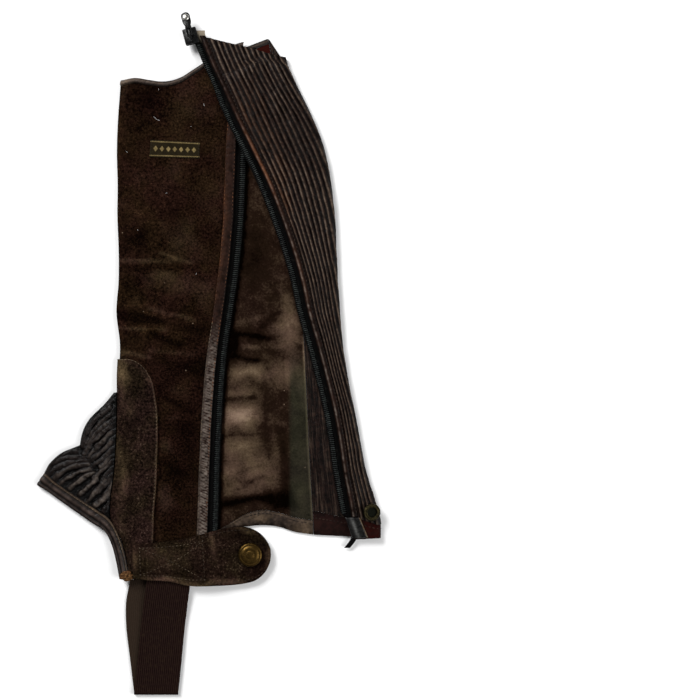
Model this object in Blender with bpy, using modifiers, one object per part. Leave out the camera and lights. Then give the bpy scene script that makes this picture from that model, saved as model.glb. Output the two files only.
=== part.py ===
"""A left half chap in suede and gathered leather, opened down its zip and laid flat on the floor.

The front face lies up. X runs across the leg, Y from the foot up to the knee, Z up from the floor,
and the origin is on the floor under the middle of the whole object. The lower layer of the leg tube
touches the floor, the upper layer lies on it, and the gathered panel folds over from the right and
crosses the front at the knee. Sizes are in millimetres and become metres in cloth() and turned().
"""

import math
from bisect import bisect_right
from collections import namedtuple

import bmesh
import bpy
from mathutils import Matrix, Vector

MM = 0.001
GAP = 0.3                 # what a seam leaves between two pieces

# Walls
SUEDE = 1.6
BINDING_WALL = 2.2
GUSSET_WALL = 1.2
PATCH_WALL = 1.3
TAB_WALL = 1.8
TAPE_WALL = 0.8
ELASTIC_WALL = 1.3
FACING_WALL = 0.9

# Heights above the floor of the outer faces
SHIN_FOLD = 5.6           # the rounded fold down the shin
FRONT_AT_ZIP = 4.6
RIBBED_FOLD = 6.2         # the fold down the outer calf
RIBBED_AT_ZIP = 4.6
ZIP_BASE = SUEDE + GAP
CROSSING_LIFT = 4.5       # what the gathered panel gains where it climbs over the front
CROSSING_RAMP = 12.0

# Widths
BINDING_WIDTH = 4.4
FACING_WIDTH = 7.7
FACING_OVERHANG = 1.0
ZIP_SHOWS = 8.0           # tape and coil outside the leather
LEANING_SHOWS = 6.2       # what shows where the back zip leans over at the knee
ZIP_HIDDEN = 4.0          # tape under the leather
COIL_WIDTH = 4.2
COIL_HEIGHT = 2.4
WELT_WIDTH = 4.2
MARGIN = 5.6              # plain stretch of the gathered panel under the welt
RIB_RISE = 1.0
RIBS = 18
RIDGES = 13
RIDGE_RISE = 1.3
GUSSET_FOLD = 4.8

Section = namedtuple("Section", "height shin zip_front seam zip_back fold")
SECTIONS = (
    # height, shin fold, front zip edge, back seam, back zip edge, calf fold
    Section(-170, -56.6, -0.6, 81.0, 110.0, 130.8),
    Section(-152, -59.5, -0.4, 80.6, 110.0, 130.8),
    Section(-138, -63.6, 0.0, 80.0, 109.5, 130.8),
    Section(-124, -70.6, 0.4, 79.6, 109.0, 130.4),
    Section(-108, -71.0, 0.9, 78.7, 106.3, 125.9),
    Section(-88, -68.4, 1.4, 77.5, 102.5, 119.7),
    Section(-64, -66.8, 2.4, 76.2, 99.0, 114.9),
    Section(-40, -66.2, 3.6, 75.2, 94.7, 110.4),
    Section(-16, -66.4, 5.2, 74.0, 88.9, 105.6),
    Section(8, -65.6, 7.7, 72.8, 82.6, 102.0),
    Section(32, -68.2, 11.2, 71.0, 75.8, 100.0),
    Section(56, -66.6, 14.8, 69.2, 70.6, 98.3),
    Section(80, -66.6, 17.6, 67.6, 63.7, 97.2),
    Section(104, -67.5, 19.6, 65.6, 55.4, 96.1),
    Section(128, -67.3, 20.6, 63.2, 46.0, 93.3),
    Section(152, -67.9, 21.6, 60.0, 34.6, 88.9),
    Section(176, -67.1, 22.9, 56.4, 22.8, 80.3),
    Section(200, -65.4, 24.7, 52.6, 12.0, 68.6),
    Section(216, -64.6, 26.4, 49.6, 4.4, 61.6),
    Section(240, -64.6, 29.8, 45.4, -5.4, 54.2),
)

TopEdge = namedtuple("TopEdge", "x front back")
TOP_EDGE = (
    # across, height of the front outline, height of the back outline
    TopEdge(-63, 206.2, 206.2),
    TopEdge(-54, 207.8, 206.6),
    TopEdge(-44, 206.4, 206.0),
    TopEdge(-35, 205.2, 205.4),
    TopEdge(-27, 205.9, 206.0),
    TopEdge(-19, 208.7, 208.2),
    TopEdge(-12, 213.2, 210.8),
    TopEdge(-4, 218.4, 214.6),
    TopEdge(7, 226.0, 220.2),
    TopEdge(17, 231.5, 225.4),
    TopEdge(29, 235.5, 231.4),
    TopEdge(46, 238.0, 238.0),
)

BottomEdge = namedtuple("BottomEdge", "x seam hem")
BOTTOM_EDGE = (
    # across, lower edge of the suede back, lower edge of its hem
    BottomEdge(-54, -168.0, -168.0),
    BottomEdge(-30, -155.0, -159.0),
    BottomEdge(-5, -139.5, -144.0),
    BottomEdge(17, -126.5, -131.0),
    BottomEdge(29, -119.5, -129.0),
    BottomEdge(42, -116.5, -128.0),
    BottomEdge(54, -118.5, -129.2),
    BottomEdge(66, -122.0, -133.0),
    BottomEdge(81, -124.5, -135.2),
)

FootEdge = namedtuple("FootEdge", "inner_x inner_y outer_x outer_y height")
FOOT_EDGE = (
    # from the lower front corner round to the instep tip
    FootEdge(-58.5, -168.0, -65.5, -168.0, 7.0),
    FootEdge(-61.5, -150.5, -68.0, -155.0, 7.2),
    FootEdge(-66.5, -135.0, -71.5, -142.0, 7.0),
    FootEdge(-73.0, -123.5, -77.0, -132.0, 6.6),
    FootEdge(-82.0, -117.0, -87.0, -125.5, 5.6),
    FootEdge(-98.0, -106.5, -105.0, -113.0, 5.4),
    FootEdge(-115.0, -95.0, -122.0, -101.0, 5.3),
    FootEdge(-122.5, -88.5, -128.5, -97.0, 5.2),
)

# Fold of the instep gusset: its lower lobe from the tip to the notch, then up to the shin
GUSSET_LOWER_LOBE = ((-122.5, -88.5), (-118.5, -81.5), (-110.0, -73.8), (-102.5, -71.0), (-96.6, -72.4))
GUSSET_UPPER_LOBE = ((-96.6, -72.4), (-93.8, -58.0), (-88.5, -48.0), (-77.5, -38.0), (-73.2, -30.5))
LOBE_ROWS = (21, 8, 10)           # binding, lower lobe, upper lobe; three rows to a ridge
GUSSET_SEAM = (-121.0, -29.5)
CREASE = ((-96.5, -71.5), (-76.0, -118.0))

PatchSide = namedtuple("PatchSide", "height right")
PATCH_SIDE = (
    # outline of the shin patch on its right, up to the rounded corner
    PatchSide(-170.0, -41.0),
    PatchSide(-122.0, -40.0),
    PatchSide(-97.0, -38.0),
    PatchSide(-46.5, -37.0),
    PatchSide(-29.5, -39.0),
    PatchSide(-18.0, -41.5),
    PatchSide(-12.0, -45.0),
)
PatchCrown = namedtuple("PatchCrown", "x height")
PATCH_CROWN = (
    # its top edge, from the shin to the same corner
    PatchCrown(-66.0, -3.0),
    PatchCrown(-57.0, -3.4),
    PatchCrown(-50.5, -6.6),
    PatchCrown(-45.0, -12.0),
)

LABEL_CORNERS = ((-43.0, 148.4), (-5.7, 147.4), (-42.2, 161.3), (-5.3, 159.5))

TabRow = namedtuple("TabRow", "low_x low_y high_x high_y under")
TAB = (
    # lower edge, upper edge, height of the underside
    TabRow(-55.0, -167.0, -55.7, -141.0, 7.7),
    TabRow(-44.0, -168.5, -42.0, -140.5, 7.6),
    TabRow(-29.0, -169.5, -29.0, -139.5, 6.8),
    TabRow(-12.0, -173.0, -15.0, -137.0, 6.6),
    TabRow(6.0, -173.0, -3.0, -134.0, 6.5),
    TabRow(18.0, -172.6, 10.5, -130.5, 4.7),
    TabRow(28.0, -171.4, 21.5, -129.0, 4.2),
    TabRow(36.5, -169.0, 31.0, -129.5, 4.2),
    TabRow(43.5, -163.0, 39.5, -133.6, 4.2),
    TabRow(47.2, -155.5, 45.5, -140.5, 4.2),
    TabRow(48.0, -150.0, 47.7, -146.0, 4.2),
)
SNAP = (32.5, -149.5)

StrapRow = namedtuple("StrapRow", "height back_left front_left")
STRAP = (
    StrapRow(-255.5, -55.0, -55.0),
    StrapRow(-226.0, -58.5, -52.0),
    StrapRow(-205.0, -61.0, -50.0),
    StrapRow(-186.0, -61.2, -47.6),
    StrapRow(-168.0, -58.2, -45.4),
    StrapRow(-150.0, -58.2, -45.4),
)
STRAP_WIDTH = 33.0
STRAP_FOLD = 3.2
STRAP_AT_HEM = 5.2

CALF_SOCKET = (123.4, -117.6)     # snap socket on the gathered panel
SOCKET_TILT = 12.0

SLIDER_HEIGHT = 238.5             # how far up its zip the slider stands
SLIDER_LENGTH = 12.0
SLIDER_WIDTH = 10.4
SLIDER_PLATE = 1.0
PULL_LENGTH = 18.0
PULL_THICKNESS = 1.2
PULL_DROOP = 5.0                  # degrees it sags forward, onto the slider's nose
PIN_ABOVE_PLATE = 1.4
ARCH_HOLE = 2.8
ARCH_REACH = 3.2
ARCH_BAR = 1.1
ARCH_WIDTH = 1.6

Finish = namedtuple("Finish", "colour roughness metallic")
FINISHES = {
    "suede": Finish((0.030, 0.018, 0.012), 0.95, 0.0),
    "gathered_leather": Finish((0.020, 0.013, 0.010), 0.45, 0.0),
    "binding_leather": Finish((0.022, 0.014, 0.012), 0.4, 0.0),
    "red_leather": Finish((0.060, 0.012, 0.008), 0.5, 0.0),
    "zip_tape": Finish((0.006, 0.006, 0.006), 0.7, 0.0),
    "elastic": Finish((0.014, 0.010, 0.008), 0.85, 0.0),
    "label_cloth": Finish((0.045, 0.033, 0.016), 0.8, 0.0),
    "antique_brass": Finish((0.120, 0.085, 0.030), 0.4, 1.0),
    "black_metal": Finish((0.020, 0.020, 0.020), 0.35, 1.0),
    "nickel": Finish((0.550, 0.540, 0.520), 0.25, 1.0),
}


def mix(first, second, share):
    return first + (second - first) * share


def smooth(share):
    share = min(max(share, 0.0), 1.0)
    return share * share * (3 - 2 * share)


def spline(keys, values):
    """A smooth function through the values at the rising keys, constant beyond them."""
    last = len(keys) - 1

    def slope(i):
        low, high = max(i - 1, 0), min(i + 1, last)
        return (values[high] - values[low]) / (keys[high] - keys[low])

    def at(key):
        key = min(max(key, keys[0]), keys[last])
        i = min(bisect_right(keys, key), last) - 1
        span = keys[i + 1] - keys[i]
        t = (key - keys[i]) / span
        level = values[i] + (values[i + 1] - values[i]) * smooth(t)
        return level + span * t * (1 - t) * (slope(i) * (1 - t) - slope(i + 1) * t)

    return at


def column(table, field):
    """One column of a table as a smooth function of its first column."""
    return spline([row[0] for row in table], [getattr(row, field) for row in table])


def line(points):
    """A smooth line through the points, read from 0 to 1 along its length."""
    knots = [Vector(point) for point in points]
    reach = [0.0]
    for start, end in zip(knots, knots[1:]):
        reach.append(reach[-1] + (end - start).length)
    return spline([r / reach[-1] for r in reach], knots)


def four_sided(left, right, low, high):
    """The plane patch between four edge lines, as a function of its two shares."""
    def at(across, up):
        edges = mix(left(up), right(up), across) + mix(low(across), high(across), up)
        return edges - mix(mix(left(0), right(0), across), mix(left(1), right(1), across), up)
    return at


def legs(share, counts):
    """Which leg of a path of several legs a share of its columns is in, and how far along."""
    at = share * sum(counts)
    for leg, count in enumerate(counts[:-1]):
        if at <= count + 1e-6:
            return leg, at / count
        at -= count
    return len(counts) - 1, at / counts[-1]


def station(places, share):
    """A place from a list of uneven places, at a share of the way through the list."""
    at = share * (len(places) - 1)
    i = min(int(at + 1e-6), len(places) - 2)
    return mix(places[i], places[i + 1], at - i)


def bump(share):
    """A rib's height across its width, flat on top with a tight valley on either side."""
    share = share % 1.0
    return min(1.0, 3 * min(share, 1 - share))


shin = column(SECTIONS, "shin")
zip_front = column(SECTIONS, "zip_front")
back_seam = column(SECTIONS, "seam")
zip_back = column(SECTIONS, "zip_back")
calf_fold = column(SECTIONS, "fold")
top_front = column(TOP_EDGE, "front")
top_back = column(TOP_EDGE, "back")
back_low = column(BOTTOM_EDGE, "seam")
hem_low = column(BOTTOM_EDGE, "hem")


def front_height(x, y):
    """Outer face of the front: high along the shin fold, low at the zip, with two soft rumples."""
    start = shin(y) + SHIN_FOLD / 2
    across = (x - start) / (zip_front(y) - start)
    rumples = 0.7 * math.exp(-((y - 48 + 0.3 * x) / 26) ** 2) - 0.5 * math.exp(-((y + 8) / 30) ** 2)
    middle = 4 * smooth(across) * (1 - smooth(across))
    return mix(SHIN_FOLD, FRONT_AT_ZIP, smooth(across)) + rumples * middle


def crossing(x, y):
    """Lift of what lies over the front's zip at the knee and comes down to its right."""
    past = x - zip_front(y) - ZIP_SHOWS - 0.6
    return CROSSING_LIFT * (1 - smooth(past / CROSSING_RAMP))


def material(name):
    finish = FINISHES[name]
    made = bpy.data.materials.new(name)
    made.use_nodes = True
    surface = made.node_tree.nodes["Principled BSDF"]
    surface.inputs["Base Color"].default_value = (*finish.colour, 1.0)
    surface.inputs["Roughness"].default_value = finish.roughness
    surface.inputs["Metallic"].default_value = finish.metallic
    return made


def finished(name, piece, finish):
    """Name a piece, give it its material and soft shading, and put it in the object's collection."""
    piece.name = name
    piece.data.name = name
    piece.data.materials.clear()
    piece.data.materials.append(MATERIALS[finish])
    piece.data.shade_smooth()
    piece.data.set_sharp_from_angle(angle=math.radians(40))
    for held in list(piece.users_collection):
        held.objects.unlink(piece)
    OBJECT.objects.link(piece)
    return piece


def evaluated(piece):
    """Replace a piece's mesh by what its modifiers make of it."""
    graph = bpy.context.evaluated_depsgraph_get()
    mesh = bpy.data.meshes.new_from_object(piece.evaluated_get(graph))
    piece.modifiers.clear()
    piece.data = mesh
    return mesh


def cloth(name, columns, rows, place, finish, keep=None):
    """A closed wall of cloth: a square grid thickened by one, each point then put in its place.

    place(u, v, depth) gives a point in millimetres. u and v run from 0 to 1 over the grid, and
    depth is 0 on the outer face and 1 on the inner one. keep(u, v) drops cells that it refuses.
    """
    bpy.ops.mesh.primitive_grid_add(x_subdivisions=columns, y_subdivisions=rows, size=1)
    wall = bpy.context.object
    if keep:
        grid = bmesh.new()
        grid.from_mesh(wall.data)
        middles = [(face, face.calc_center_median()) for face in grid.faces]
        spare = [face for face, at in middles if not keep(at.x + 0.5, at.y + 0.5)]
        bmesh.ops.delete(grid, geom=spare, context="FACES")
        grid.to_mesh(wall.data)
        grid.free()
    thicken = wall.modifiers.new("thickness", "SOLIDIFY")
    thicken.thickness = 1.0
    thicken.offset = -1.0
    mesh = evaluated(wall)
    for vertex in mesh.vertices:
        u = round((vertex.co.x + 0.5) * columns) / columns
        v = round((vertex.co.y + 0.5) * rows) / rows
        vertex.co = Vector(place(u, v, round(-vertex.co.z))) * MM
    return finished(name, wall, finish)


def turned(name, profile, finish, steps=24):
    """A round piece: a profile of (radius, height), top to bottom, turned about Z."""
    mesh = bpy.data.meshes.new(name)
    points = [(radius * MM, 0.0, height * MM) for radius, height in profile]
    mesh.from_pydata(points, [(i, i + 1) for i in range(len(points) - 1)], [])
    piece = bpy.data.objects.new(name, mesh)
    bpy.context.scene.collection.objects.link(piece)
    spin = piece.modifiers.new("turning", "SCREW")
    spin.steps = steps
    spin.render_steps = steps
    spin.use_merge_vertices = True
    spin.merge_threshold = 0.00005
    evaluated(piece)
    return finished(name, piece, finish)


def block(name, size, place, bevel=0.0):
    """A box of the given size in millimetres, centred at place, with its edges rounded."""
    bpy.ops.mesh.primitive_cube_add(size=1)
    piece = bpy.context.object
    piece.name = name
    stretch = Matrix.Diagonal((*size, 1.0 / MM)) * MM
    piece.data.transform(Matrix.Translation(Vector(place) * MM) @ stretch)
    if bevel:
        edge = piece.modifiers.new("edges", "BEVEL")
        edge.width = bevel * MM
        edge.segments = 2
    return piece


def combine(piece, others, operation):
    """Join others to a piece or cut them from it, and remove them."""
    for other in others:
        step = piece.modifiers.new(operation.lower(), "BOOLEAN")
        step.operation = operation
        step.object = other
    evaluated(piece)
    for other in others:
        bpy.data.objects.remove(other)
    return piece


def main_point(leg, share, front, back, fold_y, depth, swell=0.0):
    """A point of the suede tube: along the back, round the shin fold or along the front.

    front and back are plan points, fold_y is the height up the leg at the fold, and swell is
    how far a thicker wall rises over the suede on the front.
    """
    radius = SHIN_FOLD / 2
    if leg == 0:
        return (back.x, back.y, depth * SUEDE)
    if leg == 2:
        return (front.x, front.y, front_height(front.x, front.y) + (1 - depth) * swell - depth * SUEDE)
    angle = math.pi * (1.5 - share)
    round_part = radius + (1 - depth) * swell * share - depth * SUEDE
    centre = shin(fold_y) + radius
    return (centre + round_part * math.cos(angle), fold_y, radius + round_part * math.sin(angle))


MAIN_COLUMNS = (10, 6, 11)        # back, shin fold, front
MAIN_ROWS = 22
MAIN_LOW = -168.0
SHIN_TOP = top_front(TOP_EDGE[0].x)
MAIN_HIGH = SHIN_TOP - BINDING_WIDTH
ZIP_SIDE_LOW = -170.0
ZIP_TOP = top_front(28)
ZIP_SIDE_HIGH = ZIP_TOP - BINDING_WIDTH
SEAM_LOW = BOTTOM_EDGE[-1].seam
SEAM_TOP = TOP_EDGE[-1].back
BACK_LEFT = shin(MAIN_LOW) + SHIN_FOLD / 2
BACK_RIGHT = back_seam(SEAM_LOW) - GAP


def back_edge(x):
    """Lower edge of the suede back, straight between the panel's columns."""
    at = (x - BACK_LEFT) / (BACK_RIGHT - BACK_LEFT) * MAIN_COLUMNS[0]
    low = min(max(int(at), 0), MAIN_COLUMNS[0] - 1)
    places = [mix(BACK_LEFT, BACK_RIGHT, i / MAIN_COLUMNS[0]) for i in (low, low + 1)]
    return mix(back_low(places[0]), back_low(places[1]), at - low)


def fold_side(up):
    y = mix(MAIN_LOW, MAIN_HIGH, up)
    return Vector((shin(y) + SHIN_FOLD / 2, y))


def zip_side(up):
    y = mix(ZIP_SIDE_LOW, ZIP_SIDE_HIGH, up)
    return Vector((zip_front(y) - FACING_OVERHANG, y))


def seam_side(up):
    y = mix(SEAM_LOW, SEAM_TOP - BINDING_WIDTH, up)
    return Vector((back_seam(y) - GAP, y))


def edge_between(start, end, edge):
    """The stretch of an edge, given as heights across the leg, between two of its points."""
    def at(share):
        x = mix(start.x, end.x, share)
        return Vector((x, edge(x)))
    return at


front_sheet = four_sided(
    fold_side, zip_side, lambda share: mix(fold_side(0), zip_side(0), share),
    edge_between(fold_side(1), zip_side(1), lambda x: top_front(x) - BINDING_WIDTH))
back_sheet = four_sided(
    fold_side, seam_side, edge_between(fold_side(0), seam_side(0), back_low),
    edge_between(fold_side(1), seam_side(1), lambda x: top_back(x) - BINDING_WIDTH))


def main_panel():
    """Suede front and back in one piece, from the back seam round the shin to the front zip."""
    def place(u, v, depth):
        leg, share = legs(u, MAIN_COLUMNS)
        fold_y = mix(MAIN_LOW, MAIN_HIGH, v)
        return main_point(leg, share, front_sheet(share, v), back_sheet(1 - share, v), fold_y, depth)

    return cloth("main_panel", sum(MAIN_COLUMNS), MAIN_ROWS, place, "suede")


def top_binding():
    """Leather over the knee edge of the suede tube, front and back, rolled at its outer edge."""
    widths = (GAP, 2.0, BINDING_WIDTH - 0.9, BINDING_WIDTH)
    swells = (0.5, 0.6, 0.35, -0.5)
    left = fold_side(1).x

    def place(u, v, depth):
        leg, share = legs(u, MAIN_COLUMNS)
        up = station(widths, v) - BINDING_WIDTH
        swell = station(swells, v)
        front_x = mix(left, zip_front(ZIP_SIDE_HIGH + up) - FACING_OVERHANG, share)
        back_x = mix(left, back_seam(SEAM_TOP + up) - GAP, 1 - share)
        front = Vector((front_x, top_front(front_x) + up))
        back = Vector((back_x, top_back(back_x) + up))
        return main_point(leg, share, front, back, SHIN_TOP + up, depth, swell)

    return cloth("top_binding", sum(MAIN_COLUMNS), 3, place, "binding_leather")


def over_main(leg, share, v, out):
    """A point a little outside the suede's own facets, round the shin fold or on the front."""
    low = min(int(v * MAIN_ROWS + 1e-6), MAIN_ROWS - 1)

    def on_row(row):
        up = row / MAIN_ROWS
        if leg == 2:
            at = front_sheet(share, up)
            return Vector((at.x, at.y, front_height(at.x, at.y) + out))
        radius = SHIN_FOLD / 2
        angle = math.pi * (1.5 - share)
        centre = fold_side(up)
        return Vector((centre.x + (radius + out) * math.cos(angle), centre.y,
                       radius + (radius + out) * math.sin(angle)))

    return mix(on_row(low), on_row(low + 1), v * MAIN_ROWS - low)


def main_share(x, y):
    """How far across the front a plan point lies, and how far up."""
    up = (y - MAIN_LOW) / (MAIN_HIGH - MAIN_LOW)
    for _ in range(4):
        left, right = fold_side(up), zip_side(up)
        share = (x - left.x) / (right.x - left.x)
        up += (y - front_sheet(share, up).y) / (MAIN_HIGH - MAIN_LOW)
    return share, up


def shin_patch():
    """Suede reinforcement over the lower shin, wrapped round the fold, with a rounded top corner."""
    columns = (3, 7)                  # shin fold from its outermost line, front
    low_rows, crown_rows = 9, 3
    side = column(PATCH_SIDE, "right")
    crown = column(PATCH_CROWN, "height")
    even_up = low_rows / MAIN_ROWS

    def place(u, v, depth):
        leg, share = legs(u, columns)
        part, rise = legs(v, (low_rows, crown_rows))
        edge = 0.5 if u == 1 or v == 1 else 1.0
        out = GAP + (1 - depth) * PATCH_WALL * edge
        if leg == 0:
            top = main_share(fold_side(even_up).x, crown(-70.0))[1]
            up = mix(0.0, even_up, rise) if part == 0 else mix(even_up, top, rise)
            return over_main(1, mix(0.5, 1.0, share), up, out)
        up = mix(0.0, even_up, rise)
        if part == 1:
            corner = PATCH_SIDE[-1].right
            x = mix(fold_side(even_up).x, corner, share)
            up = mix(even_up, main_share(x, crown(x))[1], rise)
        y = front_sheet(0.2, up).y
        reach = main_share(side(y), y)[0]
        return over_main(2, reach * share, up, out)

    return cloth("shin_patch", sum(columns), low_rows + crown_rows, place, "suede")


def label():
    """Plain woven label sewn flat to the front, high on the leg."""
    corners = [Vector(corner) for corner in LABEL_CORNERS]

    def place(u, v, depth):
        at = mix(mix(corners[0], corners[1], u), mix(corners[2], corners[3], u), v)
        return (at.x, at.y, front_height(at.x, at.y) + GAP + (1 - depth) * 0.8)

    return cloth("label", 6, 3, place, "label_cloth")


def back_zip_shows(y):
    return mix(ZIP_SHOWS, LEANING_SHOWS, smooth((y - 185) / 25))


def zip_strip(name, rows, edge, side, lift, coil_low, shows):
    """Half a zip: a flat tape with its coil along the free edge.

    rows are heights up the leg and edge gives the leather's edge there. side is +1 where the coil
    lies to its right and -1 to its left, lift raises the strip with the panel that carries it, and
    shows is how much of it is seen past the edge. Below coil_low the tape runs on alone, narrower.
    """
    inner = ZIP_SHOWS - COIL_WIDTH
    places = (-ZIP_HIDDEN, -2.2, -0.6, 1.4, inner - 0.4, inner, inner + 0.8, inner + 2.1, inner + 3.4,
              ZIP_SHOWS)
    tops = (TAPE_WALL,) * 5 + (1.0, 2.0, COIL_HEIGHT, 2.0, 0.9)

    def place(u, v, depth):
        across = station(places, u if side > 0 else 1 - u)
        wall = station(tops, u if side > 0 else 1 - u)
        y = station(rows, v)
        tail = smooth((coil_low - y) / 4.0)
        across = mix(across, min(across, 0.5), tail)
        across *= shows(y) / ZIP_SHOWS if across > 0 else 1.0
        x = edge(y) + side * across
        base = ZIP_BASE + lift(x, y)
        return (x, y, base + (1 - depth) * mix(wall, TAPE_WALL, tail))

    return cloth(name, len(places) - 1, len(rows) - 1, place, "zip_tape")


def zip_tape_front():
    """The zip half on the front, from under the tab to under the gathered panel."""
    rows = [mix(ZIP_SIDE_LOW, ZIP_SIDE_HIGH, row / MAIN_ROWS) for row in range(MAIN_ROWS + 1)]
    return zip_strip("zip_tape_front", rows, zip_front, 1, lambda x, y: 0.0, rows[0] - 10,
                     lambda y: ZIP_SHOWS)


def zip_facing_front():
    """Leather strip over the front's zip edge, standing a little past the suede."""
    places = (-FACING_WIDTH, -FACING_WIDTH + 0.8, -4.0, -0.8, 0.0)
    walls = (0.4, FACING_WALL, FACING_WALL + 0.2, FACING_WALL, 0.3)

    def place(u, v, depth):
        y = mix(ZIP_SIDE_LOW, ZIP_SIDE_HIGH, v)
        x = zip_front(y) + station(places, u)
        y += v * (top_front(x) - ZIP_TOP - GAP)
        return (x, y, front_height(x, y) + GAP + (1 - depth) * station(walls, u))

    return cloth("zip_facing_front", len(places) - 1, MAIN_ROWS, place, "binding_leather")


RIBBED_LOW = (-121.0, -127.0, -117.0)     # zip edge, calf fold and back seam
RIBBED_HIGH = (238.5, 223.5, 238.0)
HEM_LOW = (-138.5, -137.4, -135.2)
BODY_ROWS = 16
TOP_ROWS = 4
TOP_HEM = 0.935           # where the turned hem at the knee begins, as a share of the height
STITCHED_LINE = 0.952     # the row of stitching that holds it
MARGIN_COLUMNS = 3
RIBBED_COLUMNS = MARGIN_COLUMNS + 3 * RIBS
RIBBED_SHARES = [TOP_HEM * row / BODY_ROWS for row in range(BODY_ROWS)]
RIBBED_SHARES += [mix(TOP_HEM, 1.0, row / TOP_ROWS) for row in range(TOP_ROWS + 1)]
BACK_ZIP_ROWS = [mix(RIBBED_LOW[0], RIBBED_HIGH[0], share) for share in RIBBED_SHARES]


def ribbed_base(x, y, share):
    """Outer height of the gathered panel's upper layer without its ribs."""
    return mix(RIBBED_AT_ZIP, RIBBED_FOLD, smooth(share)) + crossing(x, y)


def ribbed_point(u, heights, rise, depth):
    """A point of the gathered panel's section: from the zip over the calf fold to the back seam."""
    zip_y, fold_y, seam_y = heights
    radius = RIBBED_FOLD / 2
    start = Vector((zip_back(zip_y) + 0.5, zip_y))
    turn = Vector((calf_fold(fold_y) - RIB_RISE / 2 - radius, fold_y))
    end = Vector((back_seam(seam_y) + GAP / 2, seam_y))
    front_run, back_run = (turn - start).length, (end - turn).length
    arc = math.pi * radius
    ribs_from = MARGIN_COLUMNS / RIBBED_COLUMNS
    ribbed_run = front_run + arc + back_run - MARGIN
    reach = MARGIN * min(u / ribs_from, 1.0) + ribbed_run * max(u - ribs_from, 0.0) / (1 - ribs_from)
    if reach < front_run:
        share = reach / front_run
        at = mix(start, turn, share)
        return (at.x, at.y, ribbed_base(at.x, at.y, share) + (1 - depth) * rise - depth * SUEDE)
    if reach < front_run + arc:
        angle = math.pi / 2 - (reach - front_run) / radius
        fade = (1 + math.sin(angle)) / 2
        round_part = radius + (1 - depth) * rise * fade - depth * SUEDE
        return (turn.x + round_part * math.cos(angle), turn.y, radius + round_part * math.sin(angle))
    at = mix(turn, end, (reach - front_run - arc) / back_run)
    return (at.x, at.y, depth * SUEDE)


def ribbed_panel():
    """Gathered leather over elastic: long ribs on the outer face, a plain face inside."""
    def place(u, v, depth):
        up = station(RIBBED_SHARES, v)
        heights = [mix(low, high, up) for low, high in zip(RIBBED_LOW, RIBBED_HIGH)]
        rib = (u * RIBBED_COLUMNS - MARGIN_COLUMNS) / 3
        held = 1 - 0.65 * math.exp(-((up - STITCHED_LINE) / 0.010) ** 2)
        rise = RIB_RISE * bump(rib) * held if rib > 0 else 0.0
        return ribbed_point(u, heights, rise, depth)

    return cloth("ribbed_panel", RIBBED_COLUMNS, len(RIBBED_SHARES) - 1, place, "gathered_leather")


def ribbed_hem():
    """Plain red-brown band along the foot end of the gathered panel, front and back."""
    def place(u, v, depth):
        heights = [mix(low, high - GAP, v) for low, high in zip(HEM_LOW, RIBBED_LOW)]
        return ribbed_point(u, heights, 0.0, depth)

    return cloth("ribbed_hem", RIBBED_COLUMNS // 2, 2, place, "red_leather")


def zip_tape_back():
    """The zip half on the gathered panel, with its tape's ends showing past the hem and the knee."""
    tail = [HEM_LOW[0] - 5, HEM_LOW[0], -126.0, -123.4]
    rows = [*tail, *BACK_ZIP_ROWS[:-1], BACK_ZIP_ROWS[-1] - 1.0, SLIDER_HEIGHT + 4.5]
    return zip_strip("zip_tape_back", rows, zip_back, -1, crossing, -119.5, back_zip_shows)


def zip_welt_back():
    """Plain leather welt between the back zip and the first rib."""
    places = (-0.3, 0.4, 2.3, WELT_WIDTH - 0.7, WELT_WIDTH)
    walls = (0.3, FACING_WALL, FACING_WALL + 0.3, FACING_WALL, 0.4)

    def place(u, v, depth):
        y = station(BACK_ZIP_ROWS, v)
        x = zip_back(y) + station(places, u)
        run = calf_fold(y) - RIBBED_FOLD / 2 - zip_back(y)
        base = ribbed_base(x, y, station(places, u) / run) + GAP
        return (x, y, base + (1 - depth) * station(walls, u))

    return cloth("zip_welt_back", len(places) - 1, len(BACK_ZIP_ROWS) - 1, place,
                 "binding_leather")


def zip_end_patch():
    """Glossy leather patch that closes the foot end of the back zip."""
    low_left, low_right = Vector((109.0, -137.4)), Vector((120.8, -136.6))
    high_left, high_right = Vector((103.6, -121.8)), Vector((114.8, -121.9))

    def place(u, v, depth):
        at = mix(mix(low_left, low_right, u), mix(high_left, high_right, u), v)
        edge = 0.4 if u in (0, 1) or v in (0, 1) else 1.0
        return (at.x, at.y, RIBBED_FOLD + GAP + (1 - depth) * FACING_WALL * edge)

    return cloth("zip_end_patch", 4, 4, place, "binding_leather")


def hem_binding_back():
    """Leather band along the foot edge of the suede back, from the seam to its last column."""
    def place(u, v, depth):
        x = mix(BACK_RIGHT, BACK_LEFT, u * (1 - 1 / MAIN_COLUMNS[0]))
        y = mix(hem_low(x), back_edge(x) - GAP, v)
        rise = 1.0 * smooth((x - 12.0) / 10.0) * (0.2 if v == 0 else 1.0)
        return (x, y, depth * (SUEDE + rise))

    return cloth("hem_binding_back", 18, 3, place, "binding_leather")


FOOT_COLUMNS = (17, 4, 10)        # front, round the instep tip, back


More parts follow.
